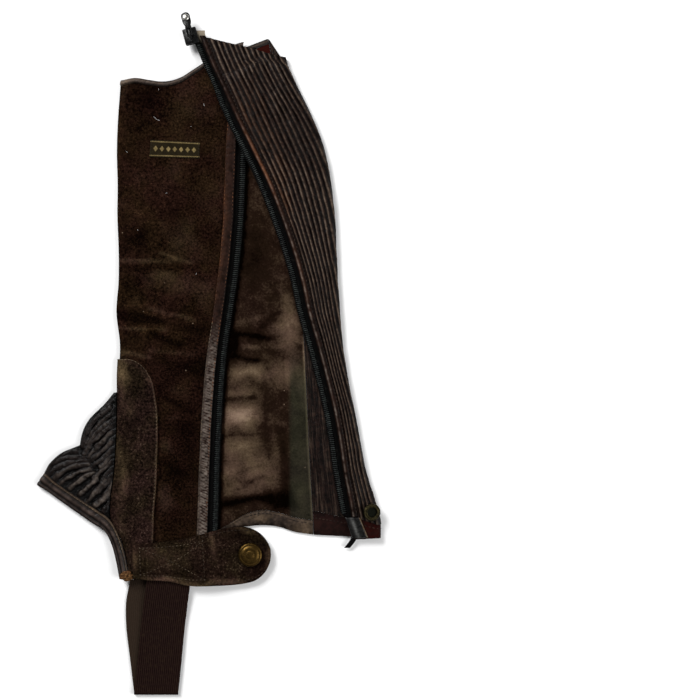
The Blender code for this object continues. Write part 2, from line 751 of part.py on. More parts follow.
def foot_binding():
    """Leather binding of the foot opening, along the front, round the instep tip and back under."""
    inner = line([(row.inner_x, row.inner_y) for row in FOOT_EDGE])
    outer = line([(row.outer_x, row.outer_y) for row in FOOT_EDGE])
    height = line([(i, row.height) for i, row in enumerate(FOOT_EDGE)])
    tip_height = FOOT_EDGE[-1].height
    tip = (inner(1) - outer(1)).normalized()
    outward = Vector((-tip.y, tip.x))
    across = (0.0, 0.3, 0.75, 1.0)
    drops = (0.2, 0.0, 0.1, 0.8)

    def place(u, v, depth):
        leg, share = legs(u, FOOT_COLUMNS)
        width = station(across, v)
        drop = station(drops, v)
        if leg == 1:
            radius = tip_height / 2
            centre = mix(inner(1), outer(1), width) - outward * radius
            angle = math.pi * (0.5 + share)
            wall = radius - drop * (1 - share) - depth * (BINDING_WALL - drop)
            at = centre - outward * wall * math.cos(angle)
            return (at.x, at.y, radius + wall * math.sin(angle))
        along = share if leg == 0 else 1 - share
        at = mix(inner(along), outer(along), width)
        at -= outward * (tip_height / 2) * smooth(along * 8 - 7)
        if leg == 0:
            top = height(along).y - drop
            return (at.x, at.y, top - depth * (BINDING_WALL - drop))
        at += tip.orthogonal() * 1.2 * smooth(share * 4)
        return (at.x, at.y, depth * (BINDING_WALL - drop))

    return cloth("foot_binding", sum(FOOT_COLUMNS), 3, place, "binding_leather")


GUSSET_COLUMNS = (2, 2, 7)        # back, fold, front


def instep_gusset():
    """Gathered leather wedge at the instep, folded double, with fanned ridges on its upper face."""
    foot = line([(row.inner_x, row.inner_y) for row in FOOT_EDGE[3:]])
    lobes = line(GUSSET_LOWER_LOBE), line(GUSSET_UPPER_LOBE)
    tip_row = LOBE_ROWS[0] / sum(LOBE_ROWS)
    clear = Vector((0.25, 0.35))
    crease_start, crease_end = (Vector(point) for point in CREASE)

    def crease(x, y):
        along = crease_end - crease_start
        at = Vector((x, y)) - crease_start
        share = min(max(at.dot(along) / along.length_squared, 0.0), 1.0)
        return math.exp(-((at - along * share).length / 4.0) ** 2)

    def place(u, v, depth):
        leg, share = legs(u, GUSSET_COLUMNS)
        seam_y = mix(*GUSSET_SEAM, v)
        seam = Vector((shin(seam_y) - GAP - PATCH_WALL - GAP, seam_y))
        folded = v > tip_row - 1e-6
        stretch, along = legs(v, LOBE_ROWS)
        if folded:
            edge = lobes[1](along) if stretch == 2 else lobes[0](along * (stretch == 1))
        else:
            edge = foot(along) + clear
        inward = (seam - edge).normalized()
        radius = GUSSET_FOLD / 2 * mix(1.0, 0.7, smooth(v * 4 - 3))
        bend = edge + inward * (radius if folded else 0.0)
        if leg == 0:
            at = mix(seam, bend, share)
            return (at.x, at.y, depth * GUSSET_WALL)
        if leg == 1:
            angle = math.pi * (1.5 - share)
            wall = radius - depth * GUSSET_WALL
            at = bend + inward * wall * math.cos(angle)
            return (at.x, at.y, radius + wall * math.sin(angle))
        at = mix(bend, seam, share)
        base = mix(2 * radius, SHIN_FOLD - 0.4, smooth(share))
        ridge = RIDGE_RISE * bump(v * RIDGES) * math.sin(math.pi * mix(0.12, 0.92, share))
        ridge -= 1.3 * crease(at.x, at.y)
        return (at.x, at.y, base + (1 - depth) * max(ridge, -0.4) - depth * GUSSET_WALL)

    def keep(u, v):
        leg, _ = legs(u, GUSSET_COLUMNS)
        return leg != 1 or v > tip_row

    return cloth("instep_gusset", sum(GUSSET_COLUMNS), sum(LOBE_ROWS), place, "gathered_leather", keep)


def snap_tab():
    """Suede strap across the foot end that carries the press stud's cap."""
    low = line([(row.low_x, row.low_y) for row in TAB])
    high = line([(row.high_x, row.high_y) for row in TAB])
    under = spline([row.low_x + row.high_x for row in TAB], [row.under for row in TAB])

    def place(u, v, depth):
        start, end = low(u), high(u)
        at = mix(start, end, v)
        edge = 0.55 if u in (0, 1) or v in (0, 1) else 1.0
        return (at.x, at.y, under(start.x + end.x) + (1 - depth) * TAB_WALL * edge)

    return cloth("snap_tab", 22, 7, place, "suede")


def stirrup_strap():
    """Elastic loop that passes under the boot, pressed flat with its two layers a little apart."""
    back_left = column(STRAP, "back_left")
    front_left = column(STRAP, "front_left")
    low = STRAP[0].height
    radius = STRAP_FOLD / 2
    columns = (8, 4, 8)

    def place(u, v, depth):
        leg, share = legs(v, columns)
        if leg == 1:
            angle = math.pi * (1.5 - share)
            wall = radius - depth * ELASTIC_WALL
            x = STRAP[0].back_left + u * STRAP_WIDTH
            return (x, low + radius + wall * math.cos(angle), radius + wall * math.sin(angle))
        if leg == 0:
            x = back_left(mix(-168.0, low, share)) + u * STRAP_WIDTH
            start = hem_low(x) - 1.2
            y = mix(start, low + radius, share)
            return (back_left(y) + u * STRAP_WIDTH, y, depth * ELASTIC_WALL)
        x = front_left(-168.0) + u * STRAP_WIDTH
        end = mix(-168.0, -170.0, (x + 54) / 52) - GAP
        y = mix(low + radius, end, share)
        top = mix(STRAP_FOLD, STRAP_AT_HEM, smooth(share * 2.5 - 1.5))
        return (front_left(y) + u * STRAP_WIDTH, y, top - depth * ELASTIC_WALL)

    return cloth("stirrup_strap", 4, sum(columns), place, "elastic")


def snap_cap():
    """Domed cap of the press stud, with a rolled rim and two plain rings."""
    profile = ((0.0, 3.2), (2.6, 3.1), (3.2, 2.8), (4.0, 2.9), (6.2, 2.5), (6.8, 2.1), (7.6, 2.3),
               (8.6, 1.9), (9.0, 1.2), (8.8, 0.4), (8.2, 0.0), (0.0, 0.0))
    piece = turned("snap_cap", profile, "antique_brass")
    piece.location = Vector((*SNAP, TAB[-1].under + TAB_WALL + 1.5 * GAP)) * MM
    return piece


def socket(name, radius, height):
    """Ring of a press stud's socket, with the hollow that takes the stud."""
    profile = ((radius * 0.30, height * 0.45), (radius * 0.34, height * 0.9), (radius * 0.52, height),
               (radius * 0.82, height * 0.94), (radius, height * 0.5), (radius * 0.96, 0.0),
               (0.0, 0.0), (0.0, height * 0.45), (radius * 0.30, height * 0.45))
    return turned(name, profile, "antique_brass")


def tab_socket():
    """Socket under the tab's free end, back to back with the cap."""
    piece = socket("tab_socket", 6.5, 3.4)
    piece.location = Vector((*SNAP, 0.4)) * MM
    return piece


def calf_socket():
    """Socket on the gathered panel that takes the tab, tipped a little over the calf fold."""
    piece = socket("calf_socket", 6.5, 2.4)
    piece.rotation_euler = (0.0, math.radians(SOCKET_TILT), 0.0)
    piece.location = Vector((*CALF_SOCKET, RIBBED_FOLD + RIB_RISE + 2.5 * GAP)) * MM
    return piece


def slider_frame():
    """Where the slider stands: its middle, its nose direction along the zip, and its height."""
    ahead, behind = SLIDER_HEIGHT + 5, SLIDER_HEIGHT - 5
    nose = Vector((zip_back(ahead) - zip_back(behind), ahead - behind)).normalized()
    coil_edge = zip_back(SLIDER_HEIGHT) - back_zip_shows(SLIDER_HEIGHT)
    middle = Vector((coil_edge - 0.9, SLIDER_HEIGHT))
    floor = ZIP_BASE + CROSSING_LIFT - GAP - SLIDER_PLATE
    turn = math.atan2(nose.y, nose.x) - math.pi / 2
    return middle, nose, floor, turn


def zip_slider():
    """Slider with a channel for each half of the zip and a low arch that holds the pull."""
    middle, _, floor, turn = slider_frame()
    chamber = COIL_HEIGHT + 2 * GAP
    height = chamber + 2 * SLIDER_PLATE
    body = block("zip_slider", (SLIDER_WIDTH, SLIDER_LENGTH, height), (0, 0, height / 2), 0.8)
    evaluated(body)
    half = SLIDER_WIDTH / 2
    divider, flange = 0.6, 0.6
    cutters = []
    for side in (-1, 1):
        wide = half - flange - divider
        cutters.append(block("chamber", (wide, 2 * SLIDER_LENGTH, chamber),
                             (side * (divider + wide / 2), 0, height / 2)))
        cutters.append(block("slot", (half, 2 * SLIDER_LENGTH, TAPE_WALL + 2 * GAP),
                             (side * (divider + 1 + half / 2), 0,
                              SLIDER_PLATE + TAPE_WALL / 2 + GAP)))
    combine(body, cutters, "DIFFERENCE")
    arch_height = ARCH_HOLE + ARCH_BAR
    reach = 2 * (ARCH_REACH + ARCH_BAR)
    arch = block("arch", (ARCH_WIDTH, reach, arch_height + 0.4),
                 (0, 0, height + arch_height / 2 - 0.2), 0.4)
    evaluated(arch)
    hole = block("hole", (2 * ARCH_WIDTH, 2 * ARCH_REACH, ARCH_HOLE),
                 (0, 0, height + ARCH_HOLE / 2))
    combine(arch, [hole], "DIFFERENCE")
    combine(body, [arch], "UNION")
    body.location = Vector((*middle, floor)) * MM
    body.rotation_euler = (0, 0, turn)
    return finished("zip_slider", body, "black_metal")


def pull_pivot():
    """The pull's hinge: an empty on the axis of its near bar, under the slider's arch."""
    middle, nose, floor, turn = slider_frame()
    height = floor + COIL_HEIGHT + 2 * GAP + 2 * SLIDER_PLATE + PIN_ABOVE_PLATE
    pivot = bpy.data.objects.new("pull_pivot", None)
    pivot.location = Vector((*middle, height)) * MM
    pivot.rotation_euler = (-math.radians(PULL_DROOP), 0, turn)
    OBJECT.objects.link(pivot)
    return pivot


def zip_pull(pivot):
    """Pull: a flat tongue with an eye round the slider's arch, its near bar under the arch."""
    bar = 0.6
    eye_length, eye_half = 5.3, 1.2
    shoulder = 2.3
    outline = ((-bar, shoulder), (eye_length + bar, shoulder + 0.1), (eye_length + 2.6, 2.2),
               (eye_length + 5.0, 3.2), (PULL_LENGTH - 2.6, 3.4), (PULL_LENGTH - 0.8, 2.6),
               (PULL_LENGTH, 1.0))
    points = list(outline) + [(along, -half) for along, half in reversed(outline)]
    eye = ((bar, eye_half), (eye_length, eye_half), (eye_length, -eye_half), (bar, -eye_half))
    shape = bpy.data.curves.new("zip_pull", "CURVE")
    shape.dimensions = "2D"
    shape.fill_mode = "BOTH"
    shape.extrude = PULL_THICKNESS / 2 * MM
    for ring in (points, eye):
        spline_ring = shape.splines.new("POLY")
        spline_ring.points.add(len(ring) - 1)
        for point, (along, across) in zip(spline_ring.points, ring):
            point.co = (across * MM, along * MM, 0, 1)
        spline_ring.use_cyclic_u = True
    flat = bpy.data.objects.new("flat_pull", shape)
    bpy.context.scene.collection.objects.link(flat)
    graph = bpy.context.evaluated_depsgraph_get()
    mesh = bpy.data.meshes.new_from_object(flat.evaluated_get(graph))
    bpy.data.objects.remove(flat)
    welded = bmesh.new()
    welded.from_mesh(mesh)
    bmesh.ops.remove_doubles(welded, verts=welded.verts, dist=0.000001)
    bmesh.ops.recalc_face_normals(welded, faces=welded.faces)
    welded.to_mesh(mesh)
    welded.free()
    piece = bpy.data.objects.new("zip_pull", mesh)
    bpy.context.scene.collection.objects.link(piece)
    piece.parent = pivot
    return finished("zip_pull", piece, "black_metal")


def pull_rivet(pivot):
    """Bright rivet near the pull's free end."""
    profile = ((0.0, 1.0), (1.6, 0.9), (2.4, 0.5), (2.7, 0.0), (0.0, 0.0))
    piece = turned("pull_rivet", profile, "nickel", 20)
    piece.location = Vector((0, PULL_LENGTH - 4.0, PULL_THICKNESS / 2 + GAP)) * MM
    piece.parent = pivot
    return piece


for leftover in list(bpy.data.objects):
    bpy.data.objects.remove(leftover)
OBJECT = bpy.data.collections.new("half_chap")
bpy.context.scene.collection.children.link(OBJECT)
MATERIALS = {name: material(name) for name in FINISHES}

main_panel()
top_binding()
shin_patch()
label()
zip_facing_front()
zip_tape_front()
ribbed_panel()
ribbed_hem()
zip_welt_back()
zip_tape_back()
zip_end_patch()
hem_binding_back()
instep_gusset()
foot_binding()
snap_tab()
stirrup_strap()
snap_cap()
tab_socket()
calf_socket()
zip_slider()
hinge = pull_pivot()
zip_pull(hinge)
pull_rivet(hinge)
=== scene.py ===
"""A left half chap of dark suede and gathered leather, opened down its zip and laid flat."""
import math

import bmesh
import bpy
import numpy as np
from mathutils import Matrix, Vector


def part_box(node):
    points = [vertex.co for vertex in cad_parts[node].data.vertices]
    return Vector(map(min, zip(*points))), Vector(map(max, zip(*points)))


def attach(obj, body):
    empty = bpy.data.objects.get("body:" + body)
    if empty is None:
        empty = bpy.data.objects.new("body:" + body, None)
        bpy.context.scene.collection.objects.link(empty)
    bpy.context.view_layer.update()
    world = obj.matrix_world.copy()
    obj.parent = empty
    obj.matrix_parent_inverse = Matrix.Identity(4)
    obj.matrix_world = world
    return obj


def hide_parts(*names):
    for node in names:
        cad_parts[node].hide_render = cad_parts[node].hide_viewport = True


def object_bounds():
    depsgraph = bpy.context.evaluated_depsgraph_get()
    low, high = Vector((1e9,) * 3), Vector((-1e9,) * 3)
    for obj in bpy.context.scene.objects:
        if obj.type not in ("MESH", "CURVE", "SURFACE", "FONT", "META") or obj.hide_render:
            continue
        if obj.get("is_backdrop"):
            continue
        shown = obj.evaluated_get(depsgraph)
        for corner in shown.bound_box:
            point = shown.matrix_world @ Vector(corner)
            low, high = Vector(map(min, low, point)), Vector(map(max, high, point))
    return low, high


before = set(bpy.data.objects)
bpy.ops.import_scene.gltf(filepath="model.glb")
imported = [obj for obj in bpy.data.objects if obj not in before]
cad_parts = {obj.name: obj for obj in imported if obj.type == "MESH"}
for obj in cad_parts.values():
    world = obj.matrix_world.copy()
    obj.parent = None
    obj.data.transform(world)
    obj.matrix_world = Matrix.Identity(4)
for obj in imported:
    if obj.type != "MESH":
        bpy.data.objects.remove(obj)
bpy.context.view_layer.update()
MM = 0.001

# Main panel. One piece of suede makes the back, the fold down the shin and the front. Its nap is
# worn smooth where the horse's side rubs it, and its inner face, seen in the open zip, is paler.
# It is cut with the nap out, sewn to the gathered panel at the back and bound along both ends.
# Painted highlights and shade lie along the creases of both faces, with painted shadows beside the shin
# patch's edge and, inside, beside the zip's teeth.
LEG = np.array((
    # height, shin fold, front zip edge, back seam, back zip edge, calf fold
    (-170, -56.6, -0.6, 81.0, 110.0, 130.8), (-152, -59.5, -0.4, 80.6, 110.0, 130.8),
    (-138, -63.6, 0.0, 80.0, 109.5, 130.8), (-124, -70.6, 0.4, 79.6, 109.0, 130.4),
    (-108, -71.0, 0.9, 78.7, 106.3, 125.9), (-88, -68.4, 1.4, 77.5, 102.5, 119.7),
    (-64, -66.8, 2.4, 76.2, 99.0, 114.9), (-40, -66.2, 3.6, 75.2, 94.7, 110.4),
    (-16, -66.4, 5.2, 74.0, 88.9, 105.6), (8, -65.6, 7.7, 72.8, 82.6, 102.0),
    (32, -68.2, 11.2, 71.0, 75.8, 100.0), (56, -66.6, 14.8, 69.2, 70.6, 98.3),
    (80, -66.6, 17.6, 67.6, 63.7, 97.2), (104, -67.5, 19.6, 65.6, 55.4, 96.1),
    (128, -67.3, 20.6, 63.2, 46.0, 93.3), (152, -67.9, 21.6, 60.0, 34.6, 88.9),
    (176, -67.1, 22.9, 56.4, 22.8, 80.3), (200, -65.4, 24.7, 52.6, 12.0, 68.6),
    (216, -64.6, 26.4, 49.6, 4.4, 61.6), (240, -64.6, 29.8, 45.4, -5.4, 54.2)))
KNEE_EDGE = np.array((
    # across, height of the front's edge, height of the back's edge
    (-63, 206.2, 206.2), (-54, 207.8, 206.6), (-44, 206.4, 206.0), (-35, 205.2, 205.4),
    (-27, 205.9, 206.0), (-19, 208.7, 208.2), (-12, 213.2, 210.8), (-4, 218.4, 214.6),
    (7, 226.0, 220.2), (17, 231.5, 225.4), (29, 235.5, 231.4), (46, 238.0, 238.0)))
BACK_HEM = np.array((
    # across, lower edge of the suede back, lower edge of its binding
    (-54, -168.0, -168.0), (-30, -155.0, -159.0), (-5, -139.5, -144.0), (17, -126.5, -131.0),
    (29, -119.5, -129.0), (42, -116.5, -128.0), (54, -118.5, -129.2), (66, -122.0, -133.0),
    (81, -124.5, -135.2)))
FRONT_CREASES = (
    # from x, y to x, y, half width, height
    (-70, 33, -36, 24, 3.6, -1.0), (-66, 20, -43, 16, 3.4, 0.7), (-35, 26, -2, 21, 3.6, 0.6),
    (-31, 17, -5, 8, 5.0, -0.6), (-64, 86, -46, 84, 6.0, -0.7), (-67, 72, -42, 70, 3.2, 0.5),
    (-70, 120, -50, 126, 7.0, -0.5), (-20, 130, 12, 150, 8.0, 0.35), (-30, 60, 2, 48, 7.0, 0.3),
    (-30, 100, 8, 92, 6.0, -0.3), (-35, -40, -4, -56, 6.0, -0.4), (-30, -90, -4, -82, 5.0, 0.35),
    (-66, 180, -40, 186, 8.0, 0.3), (-20, 185, 15, 178, 7.0, -0.3))
INSIDE_FOLDS = (
    (21, 12, 56, 31, 2.6, -0.9), (24, 5, 52, 20, 3.2, 0.8), (44, -8, 48, -40, 2.2, 1.2),
    (48, -40, 60, -66, 2.6, 1.0), (60, -64, 60, -112, 2.4, 0.9), (11, -95, 38, -83, 1.6, 0.6),
    (25, -100, 41, -90, 1.8, 0.5), (20, 0, 40, -4, 3.0, 1.1), (14, -22, 34, -30, 3.6, 0.5),
    (56, 60, 62, 10, 4.0, 0.6), (40, -112, 60, -108, 4.0, 0.5))
FRONT_WEAR_AND_LIGHT = (
    # x, y, reach across, reach along, how much paler, or darker where below 0: rubbed and flat nap, and
    # painted light and shade of rumples
    (-45.8, 192.8, 11, 11, -0.34), (-35.2, 198.8, 7, 6, -0.22), (-57.8, 170.2, 5, 8, -0.22),
    (-61.5, 193.5, 4, 12, 0.12), (-16.5, 195, 11, 12, 0.08), (-60, 150, 6, 6, -0.26),
    (-62.2, 128.2, 4.5, 8, -0.16), (-29.2, 135, 16, 9, 0.05), (-26.2, 110.2, 12, 5.5, -0.2),
    (-52.5, 86.2, 11, 8, -0.5), (-42.8, 95.2, 5, 4, -0.2), (-16.5, 90, 11, 11, 0.12),
    (-45, 70.5, 22, 2.4, 0.12), (-48, 65.2, 10, 2.4, -0.3), (-31.5, 59.2, 13, 5, 0.16),
    (-59.2, 50.2, 5, 6, -0.2), (-21.8, 51.8, 15, 7, 0.10), (-12.8, 18, 8, 3, -0.32),
    (-57.8, 13.5, 8, 3, -0.14), (-11.2, 0.8, 5, 4, 0.12), (-9, -9, 13, 5, -0.7),
    (-31.5, -5.2, 9, 4, -0.14), (-21.8, -47.2, 8, 2.6, 0.14), (-17.2, -56.2, 11, 8, -0.3),
    (-29.2, -67.5, 5, 6, 0.10), (-12, -75, 7, 14, -0.3), (-26.2, -87.8, 9, 7, -0.36),
    (-31.5, -105, 6, 6, 0.10), (-21.8, -125.2, 12, 6, -0.22), (-27.8, -112.5, 5, 7, 0.10),
    (0, 90, 5, 7, -0.15), (-1.5, 48.8, 7, 8, 0.10), (-5, 18.8, 6, 6, -0.3),
    (-5.2, -22.5, 5, 20, -0.25))
FRONT_CREASE_LIGHT = (
    # creases of the front, painted as light and shade: from x, y to x, y, half width, how much paler as
    # highlight, darker as shade
    (-35.2, 75.8, -11.2, 68.2, 1.1, 0.20), (-31.5, 66, -7.5, 63.8, 1.4, -0.16),
    (-64.5, 71.2, -42.8, 69.8, 0.9, 0.14), (-69, 29.5, -38, 26.5, 3.5, -0.8),
    (-42.8, 25.5, -29, 24.8, 1.6, -0.3), (-42.8, 35.2, -5.2, 24.8, 1.6, 0.18),
    (-68.2, 19.5, -31.5, 18, 1.6, 0.18), (-27.8, 33.8, -5.2, 31.5, 2.2, -0.26),
    (-42.8, 15.8, -21.8, 9, 3.0, -0.5), (-21.8, 9, -5.2, 12.8, 2.4, -0.3),
    (-64.5, 2.2, -42.8, -1.5, 1.6, 0.22), (-42.8, 3.8, -20.2, 2.2, 2.0, 0.10),
    # the three thin dark lines from (-36.6, -24) to (-39.6, -140) paint a shadow beside the shin
    # patch's edge
    (-31.5, -31.5, -11.2, -42, 2.4, -0.4), (-36.6, -24, -35.9, -60, 0.9, -0.45),
    (-35.9, -60, -36.9, -97, 0.9, -0.45), (-36.9, -97, -39.6, -140, 0.9, -0.45),
    (-36.8, -78.8, -12.8, -92.2, 2.6, -0.2))
INSIDE_WEAR_AND_LIGHT = (
    # the same of the inner face, as it shows in the open zip; the spot at (18, 7.5) is a painted shadow
    # beside the teeth
    (34, 107, 5, 12, 0.02), (34, 75, 12, 22, -0.22), (57, 68, 5, 14, 0.04),
    (60.8, 22.5, 7.5, 13, 0.52), (58.5, 41, 5, 8, 0.20), (18, 7.5, 3.4, 10, -0.9),
    (32.2, 6, 6.5, 2.6, 0.34), (56.2, 9, 10, 6, 0.24), (47.2, 3.8, 6, 2, -0.14),
    (69.8, 4.5, 5, 2, -0.15), (33.8, -13.5, 7, 5, 0.58), (23.2, -12.8, 7, 5, 0.46),
    (58.5, -12.8, 10, 9, 0.48), (44, -14, 5, 9, 0.3), (25, -28, 12, 6, 0.36),
    (24.8, -46, 15, 9, 0.86), (11.2, -56.2, 5, 5, 0.40),
    (24.8, -71.2, 15, 9, 0.52), (17.2, -88, 9, 7, 0.50), (36, -86, 8, 8, 0.38), (51, -60.8, 5, 3, 0.12),
    (51, -72, 6, 7, 0.22), (45.8, -88, 8, 10, 0.26), (20, -102, 12, 5, 0.34), (40, -100, 9, 6, 0.24),
    (66, -40, 6, 8, 0.14), (57, -110.2, 7, 6, -0.7), (70, -75, 7, 14, 0.10), (72, -108, 7, 9, 0.24),
    (72, -22, 6, 12, 0.24))
INSIDE_CREASE_LIGHT = (
    # creases of the inner face, painted darker as shade and paler as highlight, and a darker band near
    # the foot
    (21, 23.2, 45.8, 28.5, 2.6, 0.16), (38.2, 18.8, 54.8, 32.2, 1.6, -0.24),
    (18.8, 16.5, 45.8, 12.8, 2.2, -0.5), (18.8, -1.5, 38.2, -4.5, 1.8, -0.5),
    (43.5, -7.5, 45.2, -76, 3.2, -0.18), (11.2, -34.5, 36, -33, 1.8, -0.30),
    (11.2, -61.5, 41.2, -58.5, 1.0, -0.12), (13.5, -93, 41.2, -83.2, 1.0, -0.16),
    (18, -103.5, 44, -90.5, 1.5, -0.16), (57, -58, 59.5, -108.8, 3.4, -0.24),
    (11.2, -111, 47.2, -107.2, 3.2, -0.55), (56, -2, 57, -30, 1.0, -0.10), (64, 0, 66, -30, 1.2, -0.10))
SUEDE_WALL, SHIN_FOLD, FRONT_AT_ZIP, GAP = 1.6, 5.6, 4.6, 0.3
BINDING_WIDTH = 4.4
PANEL_LEGS = (10, 6, 11)              # shares of the sheet: back, shin fold, front
SHARP_CLOTH, SHARP_BRASS, SHARP_CAST = 50, 55, 40   # degrees past which shading breaks at an edge


def mix(first, second, share):
    return first + (second - first) * share


def even(count):
    return np.linspace(0, 1, count)


def smooth(share):
    share = np.clip(share, 0.0, 1.0)
    return share * share * (3 - 2 * share)


def peak(value, centre, width):
    """A bell 1 high over its centre."""
    return np.exp(-((value - centre) / width) ** 2)


def spline(keys, values):
    """A smooth function through the values at the rising keys, constant beyond them."""
    keys, values = np.array(keys, float), np.array(values, float)
    last = len(keys) - 1
    low, high = np.maximum(np.arange(last + 1) - 1, 0), np.minimum(np.arange(last + 1) + 1, last)
    slopes = ((values[high] - values[low]).T / (keys[high] - keys[low])).T

    def at(key):
        key = np.clip(np.asarray(key, float), keys[0], keys[last])
        i = np.clip(np.searchsorted(keys, key, side="right"), 1, last) - 1
        span = keys[i + 1] - keys[i]
        t = (key - keys[i]) / span
        if values.ndim > 1:
            span, t = span[..., None], t[..., None]
        level = values[i] + (values[i + 1] - values[i]) * smooth(t)
        return level + span * t * (1 - t) * (slopes[i] * (1 - t) - slopes[i + 1] * t)

    return at


shin, zip_front, back_seam, zip_back, calf_fold = (spline(LEG[:, 0], LEG[:, i]) for i in range(1, 6))
knee_front, knee_back = (spline(KNEE_EDGE[:, 0], KNEE_EDGE[:, i]) for i in (1, 2))
back_low, hem_low = (spline(BACK_HEM[:, 0], BACK_HEM[:, i]) for i in (1, 2))


def point(*parts):
    """Places from arrays of their x, y and, where it is given, z."""
    return np.stack(np.broadcast_arrays(*parts), -1)


def xy(places):
    return places[..., 0], places[..., 1]


def station(places, share):
    """A place from a list of uneven places, at a share of the way through the list."""
    return np.interp(np.asarray(share) * (len(places) - 1), np.arange(len(places)), places)


def legs(share, counts):
    """Which leg of a path of several legs a share of its columns is in, and how far along."""
    ends = np.cumsum(counts)
    at = np.asarray(share, float) * ends[-1]
    leg = sum((at > end + 1e-6).astype(int) for end in ends[:-1])
    starts = np.concatenate(([0], ends[:-1]))
    return leg, (at - starts[leg]) / np.array(counts)[leg]


def shares(counts, steps):
    """The same path's fine stops from 0 to 1, with so many steps in each leg."""
    ends = np.concatenate(([0.0], np.cumsum(counts))) / sum(counts)
    runs = [np.linspace(ends[i], ends[i + 1], step + 1)[1:] for i, step in enumerate(steps)]
    return np.concatenate([[0.0], *runs])


def noise(x, y, size, seed):
    """Smooth noise from -1 to 1 whose bumps are about so many millimetres across."""
    grid = np.random.default_rng(seed).uniform(-1, 1, (97, 97))
    x, y = np.asarray(x) / size + 300.37, np.asarray(y) / size + 300.71
    i, j = np.floor(x).astype(int), np.floor(y).astype(int)
    s, t = smooth(x - i), smooth(y - j)
    i, j, right, up = i % 97, j % 97, (i + 1) % 97, (j + 1) % 97
    return mix(mix(grid[i, j], grid[right, j], s), mix(grid[i, up], grid[right, up], s), t)


def wavered(x, y, reach, size, seed):
    """Plan points moved about a little, so that what is laid at them wavers."""
    return x + reach * noise(x, y, size, seed), y + reach * noise(x, y, size, seed + 1)


def off_line(x, y, x0, y0, x1, y1):
    """How far plan points lie from the straight line between two ends."""
    run = (x1 - x0) ** 2 + (y1 - y0) ** 2
    near = np.clip(((x - x0) * (x1 - x0) + (y - y0) * (y1 - y0)) / run, 0, 1)
    return np.hypot(x - mix(x0, x1, near), y - mix(y0, y1, near))


def creased(x, y, creases):
    """Height that soft creases add at a plan point."""
    x, y = wavered(x, y, 1.6, 13, 4)
    return sum(height * peak(off_line(x, y, *ends), 0, width) for *ends, width, height in creases)


def spots(x, y, table):
    """Sum of soft patches on a plan: where a face is worn or dirtied, and how much."""
    x, y = wavered(x, y, 2.5, 9, 14)
    return sum(amount * peak(x, at_x, across) * peak(y, at_y, along)
               for at_x, at_y, across, along, amount in table)


def front_height(x, y):
    """Outer face of the front: high along the shin fold, low at the zip, softly rumpled."""
    start = shin(y) + SHIN_FOLD / 2
    across = (x - start) / (zip_front(y) - start)
    swell = 0.7 * peak(y + 0.3 * x, 48, 26) - 0.5 * peak(y, -8, 30)
    middle = 4 * smooth(across) * (1 - smooth(across))
    inset = smooth(across * 7) * smooth((1 - across) * 7)
    dents = creased(x, y, FRONT_CREASES) + 0.16 * noise(x, y, 11, 1) + 0.10 * noise(x, y, 5, 2)
    return mix(SHIN_FOLD, FRONT_AT_ZIP, smooth(across)) + swell * middle + dents * inset


def four_sided(left, right, low, high):
    """The plane patch between four edge lines, as a function of its two shares."""
    def at(across, up):
        s, t = np.asarray(across)[..., None], np.asarray(up)[..., None]
        edges = mix(left(up), right(up), s) + mix(low(across), high(across), t)
        return edges - mix(mix(left(0), right(0), s), mix(left(1), right(1), s), t)
    return at


def four_cornered(corners, across, up):
    """A place of a flat piece between its corners: low left, low right, high left, high right."""
    low_left, low_right, high_left, high_right = np.array(corners)
    s, t = across[..., None], up[..., None]
    return mix(mix(low_left, low_right, s), mix(high_left, high_right, s), t)


def from_rim(u, v, across, up):
    """0 at a piece's edges and 1 inside them, at a distance that the two slopes set."""
    return np.clip(np.minimum(np.minimum(u, 1 - u) * across, np.minimum(v, 1 - v) * up), 0, 1)


PANEL_LOW, PANEL_HIGH = -168.0, knee_front(-63) - BINDING_WIDTH
ZIP_LOW, ZIP_TOP = -170.0, knee_front(28)
ZIP_HIGH = ZIP_TOP - BINDING_WIDTH
SEAM_LOW, SEAM_TOP = -124.5, 238.0
FACING_OVERHANG = 1.0


def fold_side(up):
    y = mix(PANEL_LOW, PANEL_HIGH, np.asarray(up, float))
    return point(shin(y) + SHIN_FOLD / 2, y)


def zip_side(up):
    y = mix(ZIP_LOW, ZIP_HIGH, np.asarray(up, float))
    return point(zip_front(y) - FACING_OVERHANG, y)


def seam_side(up):
    y = mix(SEAM_LOW, SEAM_TOP - BINDING_WIDTH, np.asarray(up, float))
    return point(back_seam(y) - GAP, y)


def edge_between(start, end, edge):
    def at(share):
        x = mix(start[0], end[0], np.asarray(share, float))
        return point(x, edge(x))
    return at


def straight_between(start, end):
    return lambda share: mix(start, end, np.asarray(share, float)[..., None])


front_sheet = four_sided(
    fold_side, zip_side, straight_between(fold_side(0), zip_side(0)),
    edge_between(fold_side(1), zip_side(1), lambda x: knee_front(x) - BINDING_WIDTH))
back_sheet = four_sided(
    fold_side, seam_side, edge_between(fold_side(0), seam_side(0), back_low),
    edge_between(fold_side(1), seam_side(1), lambda x: knee_back(x) - BINDING_WIDTH))


def inner_rise(x, y):
    """How far the inner face of the back puckers up into the open zip; its outside lies flat."""
    inset = smooth((x - zip_front(y) - 9) / 5) * smooth((back_seam(y) - 2 - x) / 5)
    inset = inset * smooth((y + 124) / 8)
    dents = creased(x, y, INSIDE_FOLDS) + 0.22 * noise(x, y, 9, 6) + 0.12 * noise(x, y, 4, 7)
    return np.maximum(dents, -0.5) * inset


